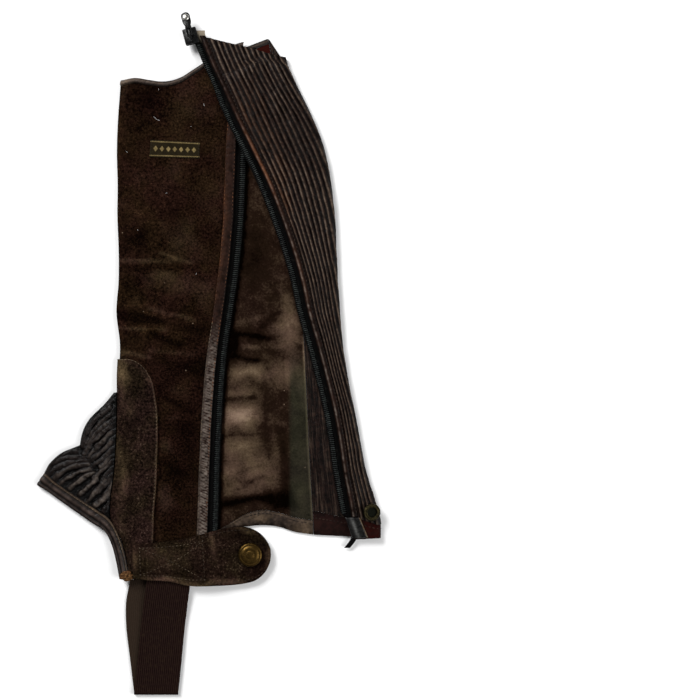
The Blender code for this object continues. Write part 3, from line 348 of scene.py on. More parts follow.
def tube_point(leg, share, front, back, fold_y, depth, swell=0.0):
    """A point of the suede tube: along the back, round the shin fold or along the front."""
    radius = SHIN_FOLD / 2
    angle = np.pi * (1.5 - share)
    wall = radius + (1 - depth) * swell * share - depth * SUEDE_WALL
    x = np.choose(leg, (back[..., 0], shin(fold_y) + radius + wall * np.cos(angle), front[..., 0]))
    y = np.choose(leg, (back[..., 1], fold_y, front[..., 1]))
    on_front = front_height(x, y) + (1 - depth) * swell - depth * SUEDE_WALL
    on_back = depth * (SUEDE_WALL + inner_rise(x, y))
    return point(x, y, np.choose(leg, (on_back, radius + wall * np.sin(angle), on_front)))


def main_point(u, v, depth):
    leg, share = legs(u, PANEL_LEGS)
    fold_y = mix(PANEL_LOW, PANEL_HIGH, v)
    return tube_point(leg, share, front_sheet(share, v), back_sheet(1 - share, v), fold_y, depth)


def placed(name, data):
    made = bpy.data.objects.new(name, data)
    bpy.context.scene.collection.objects.link(made)
    return made


def shell(name, place, across, up, marks, keep=None, cloth_size=(0.1, 0.1)):
    """A closed wall of cloth on a grid, its outer face at depth 0 and its inner face at depth 1.

    marks become vertex attributes: each is a number or a function of u, v, depth, x and y.
    keep(u, v) drops cells that it refuses. The UV map runs over the cut piece in metres.
    """
    u, v = np.meshgrid(across, up)
    rows, columns = u.shape
    faces = [np.asarray(place(u, v, float(depth)), float) for depth in (0, 1)]
    grid = np.arange(rows * columns).reshape(rows, columns)
    cells = np.ones((rows - 1, columns - 1), bool)
    if keep:
        cells = keep((u[:-1, :-1] + u[1:, 1:]) / 2, (v[:-1, :-1] + v[1:, 1:]) / 2)
    corners = np.stack((grid[:-1, :-1], grid[:-1, 1:], grid[1:, 1:], grid[1:, :-1]), -1)
    outer = corners[cells]
    shift = rows * columns
    quads = [outer, outer[:, ::-1] + shift]
    padded = np.pad(cells, 1)
    for side, (dy, dx) in enumerate(((-1, 0), (0, 1), (1, 0), (0, -1))):
        open_side = cells & ~padded[1 + dy:rows + dy, 1 + dx:columns + dx]
        start, end = corners[open_side][:, side], corners[open_side][:, (side + 1) % 4]
        quads.append(np.stack((end, start, start + shift, end + shift), -1))
    quads = np.concatenate(quads)
    points = np.concatenate([face.reshape(-1, 3) for face in faces])
    used, renumbered = np.unique(quads, return_inverse=True)
    mesh = bpy.data.meshes.new(name)
    mesh.from_pydata((points[used] * MM).tolist(), [], renumbered.reshape(-1, 4).tolist())
    flat_u, flat_v = (np.tile(share.ravel(), 2)[used] for share in (u, v))
    marks = dict(marks, inside=lambda u, v, depth, x, y: depth)
    for name_of_mark, value in marks.items():
        values = [value(u, v, float(depth), *xy(faces[depth])) if callable(value) else value
                  for depth in (0, 1)]
        levels = np.concatenate([np.broadcast_to(each, u.shape).ravel() for each in values])[used]
        mesh.attributes.new(name_of_mark, "FLOAT", "POINT").data.foreach_set("value", levels)
    on_corner = np.empty(len(mesh.loops), int)
    mesh.loops.foreach_get("vertex_index", on_corner)
    spread = np.stack((flat_u * cloth_size[0], flat_v * cloth_size[1]), -1)[on_corner]
    mesh.uv_layers.new(name="cloth").data.foreach_set("uv", spread.ravel())
    mesh.shade_smooth()
    mesh.set_sharp_from_angle(angle=math.radians(SHARP_CLOTH))
    return placed(name, mesh)


def dressed(piece, material, slot, *nodes, body="chap"):
    """The piece with its finish, riding on its body and standing for its solids; its slot is not used.
    """
    piece.data.materials.clear()
    piece.data.materials.append(material)
    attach(piece, body)
    if nodes:
        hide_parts(*nodes)
    return piece


def tone(colour):
    """A colour given in three tones of a screen, from 0 to 255; any other input stays as it is."""
    if not isinstance(colour, tuple) or len(colour) != 3:
        return colour
    return tuple((part / 255 / 12.92 if part <= 10 else ((part / 255 + 0.055) / 1.055) ** 2.4)
                 for part in colour) + (1.0,)


def add(tree, kind, inputs=None, **settings):
    """A shader node with its inputs set to numbers, or linked where a socket is given."""
    made = tree.nodes.new("ShaderNode" + kind)
    for key, value in settings.items():
        setattr(made, key, value)
    for key, value in (inputs or {}).items():
        if isinstance(value, bpy.types.NodeSocket):
            tree.links.new(value, made.inputs[key])
        else:
            made.inputs[key].default_value = value
    return made


def maths(tree, operation, first, second=0.0, third=0.0):
    return add(tree, "Math", {0: first, 1: second, 2: third}, operation=operation).outputs[0]


def times(tree, first, second):
    return maths(tree, "MULTIPLY", first, second)


def plus(tree, first, second):
    return maths(tree, "ADD", first, second)


def apart(tree, first, second):
    return maths(tree, "ABSOLUTE", maths(tree, "SUBTRACT", first, second))


def level(tree, value, low, high, to_low=0.0, to_high=1.0):
    return add(tree, "MapRange", {"Value": value, "From Min": low, "From Max": high,
                                  "To Min": to_low, "To Max": to_high}).outputs[0]


def tinted(tree, share, first, second, blend="MIX"):
    return add(tree, "Mix", {0: share, 6: tone(first), 7: tone(second)}, data_type="RGBA",
               blend_type=blend).outputs[2]


def mark(tree, name):
    return add(tree, "Attribute", attribute_name=name).outputs["Fac"]


def speckle(tree, where, scale, detail=3.0, roughness=0.6, distortion=0.0):
    return add(tree, "TexNoise", {"Vector": where, "Scale": scale, "Detail": detail,
                                  "Roughness": roughness, "Distortion": distortion}).outputs["Fac"]


def on_cloth(tree):
    """How far across and up its cut piece a place lies, in metres."""
    return add(tree, "SeparateXYZ", {0: add(tree, "UVMap", uv_map="cloth").outputs[0]}).outputs[:2]


def finish(name, roughness, gloss):
    """A new material, its node tree and the piece's own coordinates."""
    material = bpy.data.materials.new(name)
    material.use_nodes = True
    tree = material.node_tree
    surface = tree.nodes["Principled BSDF"].inputs
    surface["Roughness"].default_value = roughness
    surface["Specular IOR Level"].default_value = gloss
    return material, tree, add(tree, "TexCoord").outputs["Object"]


def surfaced(material, colour, height=None, depth=0.0, shine=None):
    """The material with its colour, its grain's height and its uneven shine linked."""
    tree = material.node_tree
    inputs = {"Base Color": colour, "Roughness": shine}
    if height is not None:
        bump = add(tree, "Bump", {"Height": height, "Distance": depth * MM, "Strength": 1.0})
        inputs["Normal"] = bump.outputs[0]
    for key, value in inputs.items():
        if value is not None:
            tree.links.new(value, tree.nodes["Principled BSDF"].inputs[key])
    return material


def suede_finish(name, deep, face, pale, pale_from=0.58, inside=None):
    """Brushed suede: short nap in clumps, dark where it is rubbed flat, scratched, with dust; its worn
    mark also brings painted crease light and shade.
    """
    material, tree, where = finish(name, 0.95, 0.0)
    nap = speckle(tree, where, 620, 5.0, 0.8)
    clumps = speckle(tree, where, 130, 3.0, 0.6, 0.6)
    broad = speckle(tree, where, 24, 3.0, 0.55)
    brushed = plus(tree, nap, times(tree, maths(tree, "SUBTRACT", clumps, 0.5), 0.16))
    brushed = plus(tree, brushed, times(tree, maths(tree, "SUBTRACT", broad, 0.5), 0.26))
    colour = tinted(tree, level(tree, brushed, 0.40, 0.59), deep, face)
    colour = tinted(tree, level(tree, brushed, pale_from, pale_from + 0.13), colour, pale)
    worn = mark(tree, "worn")
    scratch = apart(tree, speckle(tree, where, 150, 5.0, 0.7, 1.5), 0.5)
    scratch = times(tree, level(tree, scratch, 0.016, 0.004), level(tree, worn, 0.05, 0.5))
    # pale rubbed nap and scratches, and painted highlights where the worn mark carries them
    scuffs_and_highlights = times(tree, maths(tree, "MAXIMUM", worn, 0.0), level(tree, nap, 0.36, 0.62, 0.15, 1.0))
    scuffs_and_highlights = maths(tree, "MAXIMUM", scuffs_and_highlights, times(tree, scratch, 0.7))
    colour = tinted(tree, scuffs_and_highlights, colour, (112, 92, 72))
    # dark flat nap, and painted shade where the worn mark carries it below 0
    flat_nap_and_shade = times(tree, level(tree, worn, 0.0, -0.45), level(tree, nap, 0.62, 0.40, 0.66, 1.0))
    colour = tinted(tree, flat_nap_and_shade, colour, deep)
    if inside:
        dark, base, middle, light, olive, lining = inside
        # inside, the worn mark also carries painted shade: a shadow beside the teeth and dark crease
        # lines
        grime_and_shade = plus(tree, worn, level(tree, clumps, 0.3, 0.7, -0.12, 0.12))
        grime_and_shade = plus(tree, grime_and_shade, level(tree, nap, 0.3, 0.7, -0.20, 0.20))
        flesh = dark
        for low, high, paler in ((-0.45, 0.0, base), (0.0, 0.5, middle), (0.5, 1.0, light)):
            flesh = tinted(tree, level(tree, grime_and_shade, low, high), flesh, paler)
        stained = level(tree, grime_and_shade, -0.2, 0.5)
        stain = tinted(tree, stained, tuple(part * 0.45 for part in olive), olive)
        flesh = tinted(tree, mark(tree, "olive"), flesh, stain)
        flesh = tinted(tree, mark(tree, "lining"), flesh, lining)
        colour = tinted(tree, mark(tree, "inside"), colour, flesh)
    drift = tinted(tree, level(tree, speckle(tree, where, 38, 3.0, 0.6), 0.40, 0.60),
                   (1.0, 0.85, 0.98, 1.0), (0.97, 1.01, 0.85, 1.0))
    drifts = level(tree, mark(tree, "inside"), 0.0, 1.0, 1.0, 0.4)
    colour = tinted(tree, drifts, colour, drift, "MULTIPLY")
    cells = add(tree, "TexVoronoi", {"Vector": where, "Scale": 190.0})
    drawn = add(tree, "SeparateColor", {0: cells.outputs["Color"]}).outputs[0]
    chosen = level(tree, drawn, 0.955, 0.96)
    dust = times(tree, chosen, level(tree, cells.outputs["Distance"], 0.11, 0.05))
    colour = tinted(tree, times(tree, dust, 0.6), colour, (128, 110, 92))
    return surfaced(material, colour, plus(tree, nap, times(tree, clumps, 0.6)), 0.55)


def panel_wear_and_light(u, v, depth, x, y):
    """Wear and painted light of the main panel on either face, with a painted shadow beside the teeth
    inside the open zip.
    """
    if not depth:
        outer = spots(x, y, FRONT_WEAR_AND_LIGHT) + creased(x, y, FRONT_CREASE_LIGHT) + 0.05 * noise(x, y, 10, 21)
        return np.clip(outer, -0.5, 1)
    # painted shadow of the teeth on the inner face beside them
    painted_teeth_shadow = 0.8 * peak(x - zip_front(y), 8.6, 1.5)
    inner = np.clip(spots(x, y, INSIDE_WEAR_AND_LIGHT) + creased(x, y, INSIDE_CREASE_LIGHT) - painted_teeth_shadow, -0.5, 1)
    return np.where(u < 1e-6, np.maximum(inner, 0.9 * smooth((20 - y) / 20)), inner)


def olive_strip(u, v, depth, x, y):
    """The stained strip of the inner face beside the back seam."""
    return 0.85 * depth * smooth((x - 60.5) / 3) * smooth((14 - y) / 45)


def knee_lining(u, v, depth, x, y):
    """The red-brown lining that shows inside the top edge at the knee."""
    return depth * smooth((x - 12) / 6) * smooth((y - 214) / 5)


SUEDE = suede_finish("suede", (6, 3, 2), (37, 24, 16), (74, 54, 38), 0.61, inside=(
    (4, 2, 1), (29, 19, 13), (80, 65, 52), (128, 110, 91), (51, 50, 39), (43, 14, 11)))
main_panel = shell(
    "suede_panel", main_point, shares(PANEL_LEGS, (76, 12, 52)), even(301),
    {"worn": panel_wear_and_light, "olive": olive_strip, "lining": knee_lining}, cloth_size=(0.213, 0.38))
dressed(main_panel, SUEDE, "suede", "main_panel")

# Shin patch. A second layer of suede sewn over the lower shin where the leg takes the most wear,
# cut to follow the fold, with a rounded corner at its top. One row of thread holds it near its edge.
PATCH_SIDE = np.array(((-170.0, -41.0), (-122.0, -40.0), (-97.0, -38.0), (-46.5, -37.0),
                       (-29.5, -39.0), (-18.0, -41.5), (-12.0, -45.0)))
PATCH_CROWN = np.array(((-66.0, -3.0), (-57.0, -3.4), (-50.5, -6.6), (-45.0, -12.0)))
PATCH_LEGS, PATCH_RISE = (3, 7), (9, 3)   # shares: round the fold and over the front; side and crown
PATCH_WALL, PANEL_ROWS = 1.3, 22
patch_side = spline(PATCH_SIDE[:, 0], PATCH_SIDE[:, 1])
patch_crown = spline(PATCH_CROWN[:, 0], PATCH_CROWN[:, 1])


def panel_share(x, y):
    """How far across the front a plan point lies, and how far up."""
    up = (y - PANEL_LOW) / (PANEL_HIGH - PANEL_LOW)
    for _ in range(4):
        left, right = fold_side(up)[..., 0], zip_side(up)[..., 0]
        share = (x - left) / (right - left)
        up = up + (y - front_sheet(share, up)[..., 1]) / (PANEL_HIGH - PANEL_LOW)
    return share, up


def patch_point(u, v, depth):
    leg, share = legs(u, PATCH_LEGS)
    part, rise = legs(v, PATCH_RISE)
    even_up = PATCH_RISE[0] / PANEL_ROWS
    rim = np.clip(np.minimum((1 - u) * 36, (1 - v) * 160), 0, 1)
    out = GAP + (1 - depth) * PATCH_WALL * (0.45 + 0.55 * np.sqrt(rim))
    top = panel_share(fold_side(even_up)[..., 0], patch_crown(-70.0))[1]
    fold_up = np.where(part == 0, mix(0.0, even_up, rise), mix(even_up, top, rise))
    x = mix(fold_side(even_up)[..., 0], PATCH_SIDE[-1, 1], share)
    crown_up = panel_share(x, patch_crown(x))[1]
    up = np.where(part == 0, mix(0.0, even_up, rise), mix(even_up, crown_up, rise))
    y = front_sheet(0.2 * np.ones_like(up), up)[..., 1]
    reach = panel_share(patch_side(y), y)[0]
    flat_x, flat_y = xy(front_sheet(np.clip(reach * share, 0, 1), up))
    angle = np.pi * (1.5 - mix(0.5, 1.0, share))
    fold_x, fold_y = xy(fold_side(fold_up))
    around = SHIN_FOLD / 2 + out
    pucker = 0.25 * noise(flat_x, flat_y, 7, 31) * np.clip(share, 0, 1)
    on_front = front_height(flat_x, flat_y) + out + np.maximum(pucker, 0)
    return point(np.choose(leg, (fold_x + around * np.cos(angle), flat_x)),
                 np.choose(leg, (fold_y, flat_y)),
                 np.choose(leg, (SHIN_FOLD / 2 + around * np.sin(angle), on_front)))


PATCH_WEAR = (
    (-62.8, -13, 5, 9, 0.62), (-62.2, -30, 3, 6, 0.2), (-54, -12, 6, 3, -0.25),
    (-50.2, -24.8, 6, 7, -0.15), (-42.8, -17.2, 2.5, 3, 0.25), (-57.8, -39.8, 5, 4, 0.2),
    (-55.5, -57.8, 7, 7, -0.28), (-42.8, -60, 5, 15, -0.12), (-66, -71.2, 4, 14, 0.14),
    (-62.2, -96.8, 5, 13, 0.32), (-55.5, -84.8, 4, 4, -0.25), (-57, -110.2, 5, 9, -0.3),
    (-46.5, -112.5, 7, 9, -0.12), (-63.8, -123.8, 4, 10, 0.08))


def patch_worn(u, v, depth, x, y):
    """Wear of the patch, with its cut edges rubbed pale."""
    return spots(x, y, PATCH_WEAR) + 0.5 * np.clip(np.maximum(u - 0.97, v - 0.985) * 50, 0, 1)


PATCH_SUEDE = suede_finish("patch_suede", (8, 5, 4), (44, 33, 26), (98, 84, 70), 0.59)
shin_patch = shell(
    "shin_patch_suede", patch_point, shares(PATCH_LEGS, (8, 34)), shares(PATCH_RISE, (130, 26)),
    {"worn": patch_worn}, cloth_size=(0.036, 0.165))
dressed(shin_patch, PATCH_SUEDE, "suede", "shin_patch")

# Knee binding. A narrow strip of soft leather is folded over the top edge of the suede, front and
# back, and sewn through; the thumb's grip has polished its left end, where a painted highlight lies,
# as along its middle. Bindings elsewhere match it.
def leather_finish(name, deep, face, bright, worn_tone, roughness=0.42, gloss=0.2, pores=520,
                   wrinkle=0.35, patchy=0.3):
    """Smooth garment leather with fine pores: black painted shade in its folds, its crests painted
    lighter as highlight.
    """
    material, tree, where = finish(name, roughness, gloss)
    grain = speckle(tree, where, pores, 4.0, 0.65)
    folds = speckle(tree, where, pores * 0.45, 4.0, 0.6, 0.8)
    shade_and_highlight = mark(tree, "shade_and_highlight")
    colour = tinted(tree, level(tree, folds, 0.36, 0.64), deep, face)
    # painted shade: nearly black where the mark is low, in folds and valleys
    colour = tinted(tree, level(tree, shade_and_highlight, 0.02, 0.30), tuple(part * 0.25 for part in deep), colour)
    # painted highlight on the crests, where the mark is high
    rubbed = times(tree, level(tree, shade_and_highlight, 0.3, 1.0), level(tree, folds, 0.36, 0.6, patchy, 1.0))
    rubbed = times(tree, rubbed, level(tree, grain, 0.3, 0.62, 0.45, 1.0))
    colour = tinted(tree, rubbed, colour, bright)
    scuffed = times(tree, mark(tree, "worn"), level(tree, grain, 0.36, 0.6, 0.3, 1.0))
    colour = tinted(tree, scuffed, colour, worn_tone)
    shine = level(tree, folds, 0.3, 0.7, roughness - 0.08, roughness + 0.14)
    height = plus(tree, times(tree, grain, 0.35), folds)
    return surfaced(material, colour, height, wrinkle, shine)


def binding_point(u, v, depth):
    leg, share = legs(u, PANEL_LEGS)
    left = fold_side(1)[..., 0]
    up = mix(GAP, BINDING_WIDTH, v) - BINDING_WIDTH
    swell = 0.75 * np.sqrt(np.clip(4 * v * (1 - v), 0, 1)) - 0.35 * v ** 3
    swell = swell + 0.12 * noise(share * 70 + 90 * leg, v * 4, 2.4, 41)
    front_x = mix(left, zip_front(ZIP_HIGH + up) - FACING_OVERHANG, share)
    back_x = mix(left, back_seam(SEAM_TOP + up) - GAP, 1 - share)
    front, back = point(front_x, knee_front(front_x) + up), point(back_x, knee_back(back_x) + up)
    return tube_point(leg, share, front, back, knee_front(-63) + up, depth, swell)


BINDING = leather_finish("binding_leather", (14, 9, 7), (38, 28, 22), (84, 70, 60), (124, 103, 80),
                         gloss=0.14)
top_binding = shell(
    "knee_binding", binding_point, shares(PANEL_LEGS, (90, 12, 110)), even(9),
    # painted highlights at the left end and along the middle, a little painted shade elsewhere
    {"shade_and_highlight": lambda u, v, depth, x, y: (
        0.18 + 0.5 * peak(x, -60, 14) * (v > 0.3) + 0.75 * peak(v, 0.62, 0.16)),
     "worn": lambda u, v, depth, x, y: 0.25 * peak(x, -62, 5)}, cloth_size=(0.23, 0.004))
dressed(top_binding, BINDING, "binding_leather", "top_binding")

# Stitches. Polyester thread runs in lockstitch along every seam, sunk a little into the leather,
# paler where the dye has rubbed off it. Each stitch is a short rounded dash on its seam's own line.
def stitch_tree():
    """A tree that lays rounded dashes along a seam's line: named sizes, fixed seed."""
    tree = bpy.data.node_groups.new("stitching", "GeometryNodeTree")
    sockets = {}
    for name, kind, value in (
            ("Seam", "Geometry", None), ("Pitch", "Float", 0.003),
            ("Size", "Vector", (0.001, 0.0003, 0.0003)), ("Unevenness", "Float", 0.1),
            ("Thread", "Material", None)):
        made = tree.interface.new_socket(name, in_out="INPUT", socket_type="NodeSocket" + kind)
        if value is not None:
            made.default_value = value
        sockets[name] = made.identifier
    tree.interface.new_socket("Stitches", in_out="OUTPUT", socket_type="NodeSocketGeometry")
    made = {name: tree.nodes.new(kind) for name, kind in (
        ("given", "NodeGroupInput"), ("line", "GeometryNodeMeshToCurve"),
        ("stops", "GeometryNodeResampleCurve"), ("along", "GeometryNodeInputTangent"),
        ("turn", "FunctionNodeAlignRotationToVector"), ("dash", "GeometryNodeMeshUVSphere"),
        ("shaped", "GeometryNodeTransform"), ("uneven", "FunctionNodeRandomValue"),
        ("laid", "GeometryNodeInstanceOnPoints"), ("real", "GeometryNodeRealizeInstances"),
        ("thread", "GeometryNodeSetMaterial"), ("result", "NodeGroupOutput"),
        ("low", "ShaderNodeMath"), ("high", "ShaderNodeMath"))}
    made["stops"].mode = "LENGTH"
    made["turn"].axis = "X"
    made["low"].operation, made["high"].operation = "SUBTRACT", "ADD"
    for node, entry, value in (
            ("dash", "Segments", 8), ("dash", "Rings", 5), ("dash", "Radius", 1.0),
            ("low", 0, 1.0), ("high", 0, 1.0), ("uneven", "Seed", 7)):
        made[node].inputs[entry].default_value = value
    for source, output, target, entry in (
            ("given", "Seam", "line", "Mesh"), ("line", "Curve", "stops", "Curve"),
            ("given", "Pitch", "stops", "Length"), ("stops", "Curve", "laid", "Points"),
            ("along", "Tangent", "turn", "Vector"), ("turn", "Rotation", "laid", "Rotation"),
            ("dash", "Mesh", "shaped", "Geometry"), ("given", "Size", "shaped", "Scale"),
            ("shaped", "Geometry", "laid", "Instance"), ("given", "Unevenness", "low", 1),
            ("given", "Unevenness", "high", 1), ("low", 0, "uneven", 2), ("high", 0, "uneven", 3),
            ("uneven", 1, "laid", "Scale"), ("laid", "Instances", "real", "Geometry"),
            ("real", "Geometry", "thread", "Geometry"), ("given", "Thread", "thread", "Material"),
            ("thread", "Geometry", "result", "Stitches")):
        tree.links.new(made[source].outputs[output], made[target].inputs[entry])
    return tree, sockets


STITCHING, STITCH_SOCKETS = stitch_tree()


def settled(piece):
    """The piece with what its modifiers make as its own mesh."""
    graph = bpy.context.evaluated_depsgraph_get()
    made = bpy.data.meshes.new_from_object(piece.evaluated_get(graph))
    made.name = piece.name
    piece.modifiers.clear()
    piece.data = made
    made.shade_smooth()
    return piece


def dashes(name, lines, material, pitch, size, unevenness):
    """Rounded dashes along lines of points: their pitch and size in millimetres, as the lines are."""
    points, edges = [], []
    for line in lines:
        first = len(points)
        points.extend((np.asarray(line) * MM).tolist())
        edges.extend((i, i + 1) for i in range(first, len(points) - 1))
    mesh = bpy.data.meshes.new(name)
    mesh.from_pydata(points, edges, [])
    guide = placed(name, mesh)
    laid = guide.modifiers.new("laid", "NODES")
    laid.node_group = STITCHING
    for key, value in (("Pitch", pitch * MM), ("Size", Vector(size) * MM),
                       ("Unevenness", unevenness), ("Thread", material)):
        laid[STITCH_SOCKETS[key]] = value
    return settled(guide)


def thread_finish(name, base, rubbed):
    material, tree, where = finish(name, 0.7, 0.2)
    shade = speckle(tree, where, 900, 2.0)
    patches = speckle(tree, where, 60, 2.0)
    colour = tinted(tree, level(tree, patches, 0.42, 0.6), base, rubbed)
    colour = tinted(tree, level(tree, shade, 0.45, 0.7, 0.0, 0.5), colour, (12, 8, 6))
    return surfaced(material, colour, shade, 0.15)


def seam(name, place, paths, thread, slot, pitch=3.0, length=2.1, width=0.55, lift=0.1, depth=0.0):
    """Stitches along paths of u and v shares on a piece's face, lifted a little off it."""
    lines = [place(u, v, depth) + (0.0, 0.0, lift) for u, v in paths]
    size = (length / 2, width / 2, width / 2)
    dressed(dashes("stitches_" + name, lines, thread, pitch, size, 0.12), thread, slot)


def between(start, end, fixed, count):
    """A path across a piece at a fixed height of it."""
    return np.linspace(start, end, count), np.full(count, fixed)


def upward(fixed, start, end, count):
    """A path up a piece at a fixed place across it."""
    return np.full(count, fixed), np.linspace(start, end, count)


def boxed(left, right, low, high, across, up):
    """The four sides of a box on a piece."""
    return [between(left, right, low, across), upward(right, low, high, up),
            between(right, left, high, across), upward(left, high, low, up)]


def back_hem_point(u, v, depth):
    """Binding of the back's foot edge: flat underneath, with a soft swell towards the zip's V."""
    right, left = seam_side(0)[..., 0], fold_side(0)[..., 0]
    x = mix(right, left, u * (1 - 1 / PANEL_LEGS[0]))
    y = mix(hem_low(x), back_low(x) - GAP, v)
    swell = 0.2 + 0.8 * np.sqrt(np.clip(v * 5, 0, 1)) + 0.22 * noise(x, y, 2.2, 51)
    return point(x, y, depth * (SUEDE_WALL + smooth((x - 12.0) / 10.0) * swell))


BROWN_THREAD = thread_finish("brown_thread", (42, 27, 18), (98, 60, 34))
DARK_THREAD = thread_finish("dark_thread", (22, 15, 11), (60, 46, 36))
PALE_THREAD = thread_finish("pale_thread", (58, 48, 38), (104, 90, 72))
fold_share = (PANEL_LEGS[0] + PANEL_LEGS[1]) / sum(PANEL_LEGS)
seam("knee_binding", binding_point, [between(fold_share, 0.995, 0.26, 400)], DARK_THREAD,
     "binding_leather", lift=0.05)
up_side, along_top = upward(0.978, 0.02, 0.992, 240), between(0.978, 0.05, 0.992, 160)
seam("shin_patch", patch_point, [[np.concatenate(pair) for pair in zip(up_side, along_top)]],
     PALE_THREAD, "suede", pitch=2.6, length=1.7, width=0.45, lift=0.0)

# Hem binding of the back. The same leather is folded under the back's foot edge; it lies flat on
# the floor and is rubbed tan and cracked where the boot's heel meets it.
HEM_WEAR = (
    (38, -121, 9, 3, 0.7), (72, -128, 9, 5, 0.6), (20, -125, 8, 4, 0.35), (56, -121, 14, 2, 0.3),
    (76, -133, 6, 3, 0.5))
hem_binding = shell(
    "back_hem_binding", back_hem_point, even(121), even(11),
    # painted light and shade of its crumples, with a painted highlight along its upper edge
    {"shade_and_highlight": lambda u, v, depth, x, y: 0.34 + 0.26 * noise(x, y, 1.3, 52) + 0.4 * peak(v, 0.93, 0.06),
     "worn": lambda u, v, depth, x, y: 0.5 * spots(x, y, HEM_WEAR)}, cloth_size=(0.14, 0.01))
dressed(hem_binding, BINDING, "binding_leather", "hem_binding_back")
seam("back_hem", back_hem_point, [between(0.02, 0.5, 0.8, 300)], DARK_THREAD,
     "binding_leather", depth=1.0)

# Front half of the zip. A spiral of black nylon is sewn along the edge of a woven tape; the tape
# lies under the front's edge and is caught by the facing's stitches.
ZIP_SHOWS, COIL_WIDTH, COIL_PITCH, TAPE_WALL = 8.0, 4.2, 1.5, 0.8
TAPE_BASE = SUEDE_WALL + GAP
COIL_FROM = ZIP_SHOWS - COIL_WIDTH
TAPE_PLACES = (-4.0, -2.2, -0.6, 1.4, COIL_FROM - 0.4, COIL_FROM, COIL_FROM + 0.8, COIL_FROM + 2.1,
               COIL_FROM + 3.4, ZIP_SHOWS)
TAPE_TOPS = (TAPE_WALL,) * 5 + (0.9, 1.5, 1.8, 1.5, 0.8)
HERRINGBONE, WARP_WAVE, WEFT_WAVE = 0.0012, 5200.0, 7000.0   # metres, then radians a metre
TURN_SIZE, TURN_MIDDLE, TURN_HEIGHT = (0.4, 2.25, 1.2), 1.8, 1.25
# line of the covered edge, side that the teeth are on, lift, width that shows
FRONT_ZIP = (zip_front, 1, lambda x, y: 0.0, lambda y: ZIP_SHOWS)


def tape_point(half, coil_low, y, u, depth):
    """A point of half a zip: flat tape, with a low bead for the coil along its free edge."""
    edge, side, lift, shows = half
    share = u if side > 0 else 1 - u
    tail = smooth((coil_low - y) / 4.0)
    across = station(TAPE_PLACES, share)
    across = mix(across, np.minimum(across, 0.5), tail)
    across = across * np.where(across > 0, shows(y) / ZIP_SHOWS, 1.0)
    x = edge(y) + side * across
    wall = mix(station(TAPE_TOPS, share), TAPE_WALL, tail)
    return point(x, y, TAPE_BASE + lift(x, y) + (1 - depth) * wall)


def front_tape_point(u, v, depth):
    return tape_point(FRONT_ZIP, ZIP_LOW - 10, mix(ZIP_LOW, ZIP_HIGH, v), u, depth)


def tape_finish():
    """Woven polyester tape: a fine herringbone of black yarn, a little dusty."""
    material, tree, where = finish("zip_tape", 0.75, 0.04)
    across, up = on_cloth(tree)
    slant = times(tree, maths(tree, "PINGPONG", across, HERRINGBONE), WARP_WAVE)
    yarn = maths(tree, "SINE", plus(tree, slant, times(tree, up, WEFT_WAVE)))
    dust = speckle(tree, where, 300, 3.0, 0.6)
    colour = tinted(tree, level(tree, yarn, -1.0, 1.0), (2, 2, 2), (11, 10, 10))
    colour = tinted(tree, level(tree, dust, 0.58, 0.85, 0.0, 0.3), colour, (56, 52, 46))
    colour = tinted(tree, mark(tree, "worn"), colour, (150, 138, 120))
    return surfaced(material, colour, yarn, 0.12)


def nylon_finish():
    """Black nylon with a soft moulded gloss and a greenish-grey bloom of dust."""
    material, tree, where = finish("coil_nylon", 0.34, 0.3)
    dust = speckle(tree, where, 420, 3.0)
    colour = tinted(tree, level(tree, dust, 0.45, 0.72), (15, 18, 18), (57, 64, 61))
    return surfaced(material, colour, dust, 0.08)


TAPE, NYLON = tape_finish(), nylon_finish()
front_tape = shell("front_zip_tape", front_tape_point, even(19), even(201),
                   {"worn": 0.0}, cloth_size=(0.012, 0.4))
dressed(front_tape, TAPE, "zip_tape", "zip_tape_front")


def coil(name, half, low, high):
    """The spiral's turns, one rounded bar across the coil for each."""
    edge, side, lift, shows = half
    y = np.linspace(low, high, 400)
    x = edge(y) + side * (COIL_FROM + TURN_MIDDLE) * shows(y) / ZIP_SHOWS
    middle = point(x, y, TAPE_BASE + lift(x, y) + TURN_HEIGHT)
    dressed(dashes(name, [middle], NYLON, COIL_PITCH, TURN_SIZE, 0.03), NYLON, "zip_tape")


coil("front_zip_coil", FRONT_ZIP, ZIP_LOW + 1, ZIP_HIGH - 1)

# Facing of the front zip. A strip of leather covers the suede's cut edge beside the teeth, sewn by
# two rows. Its top is glossy red-brown with painted shade at its right side, and the lower half has
# rubbed grey and crumpled, with painted highlights on its wrinkles.
FACING_PLACES = (-7.7, -7.3, -6.7, -4.0, -1.2, -0.4, 0.0)
FACING_WALLS = (0.3, 0.75, 1.0, 0.95, 1.05, 0.8, 0.3)


def facing_point(u, v, depth):
    y = mix(ZIP_LOW, ZIP_HIGH, v)
    places = station(FACING_PLACES, u)
    x = zip_front(y) + places + 0.25 * noise(y, 0 * y, 16, 61)
    y = y + v * (knee_front(x) - ZIP_TOP - GAP)
    crumple = 0.18 * (noise(x * 0.5, y, 1.2, 65) + noise(x * 0.5, y, 3.4, 63))
    crumple = crumple * (0.35 + 0.65 * smooth((30 - y) / 60)) * np.clip(8 * u * (1 - u), 0, 1)
    sewn_in = 0.22 * (peak(places, -6.4, 0.5) + peak(places, -1.9, 0.5))
    wall = station(FACING_WALLS, u) + np.maximum(crumple, -0.3) - sewn_in
    return point(x, y, front_height(x, y) + GAP + (1 - depth) * wall)


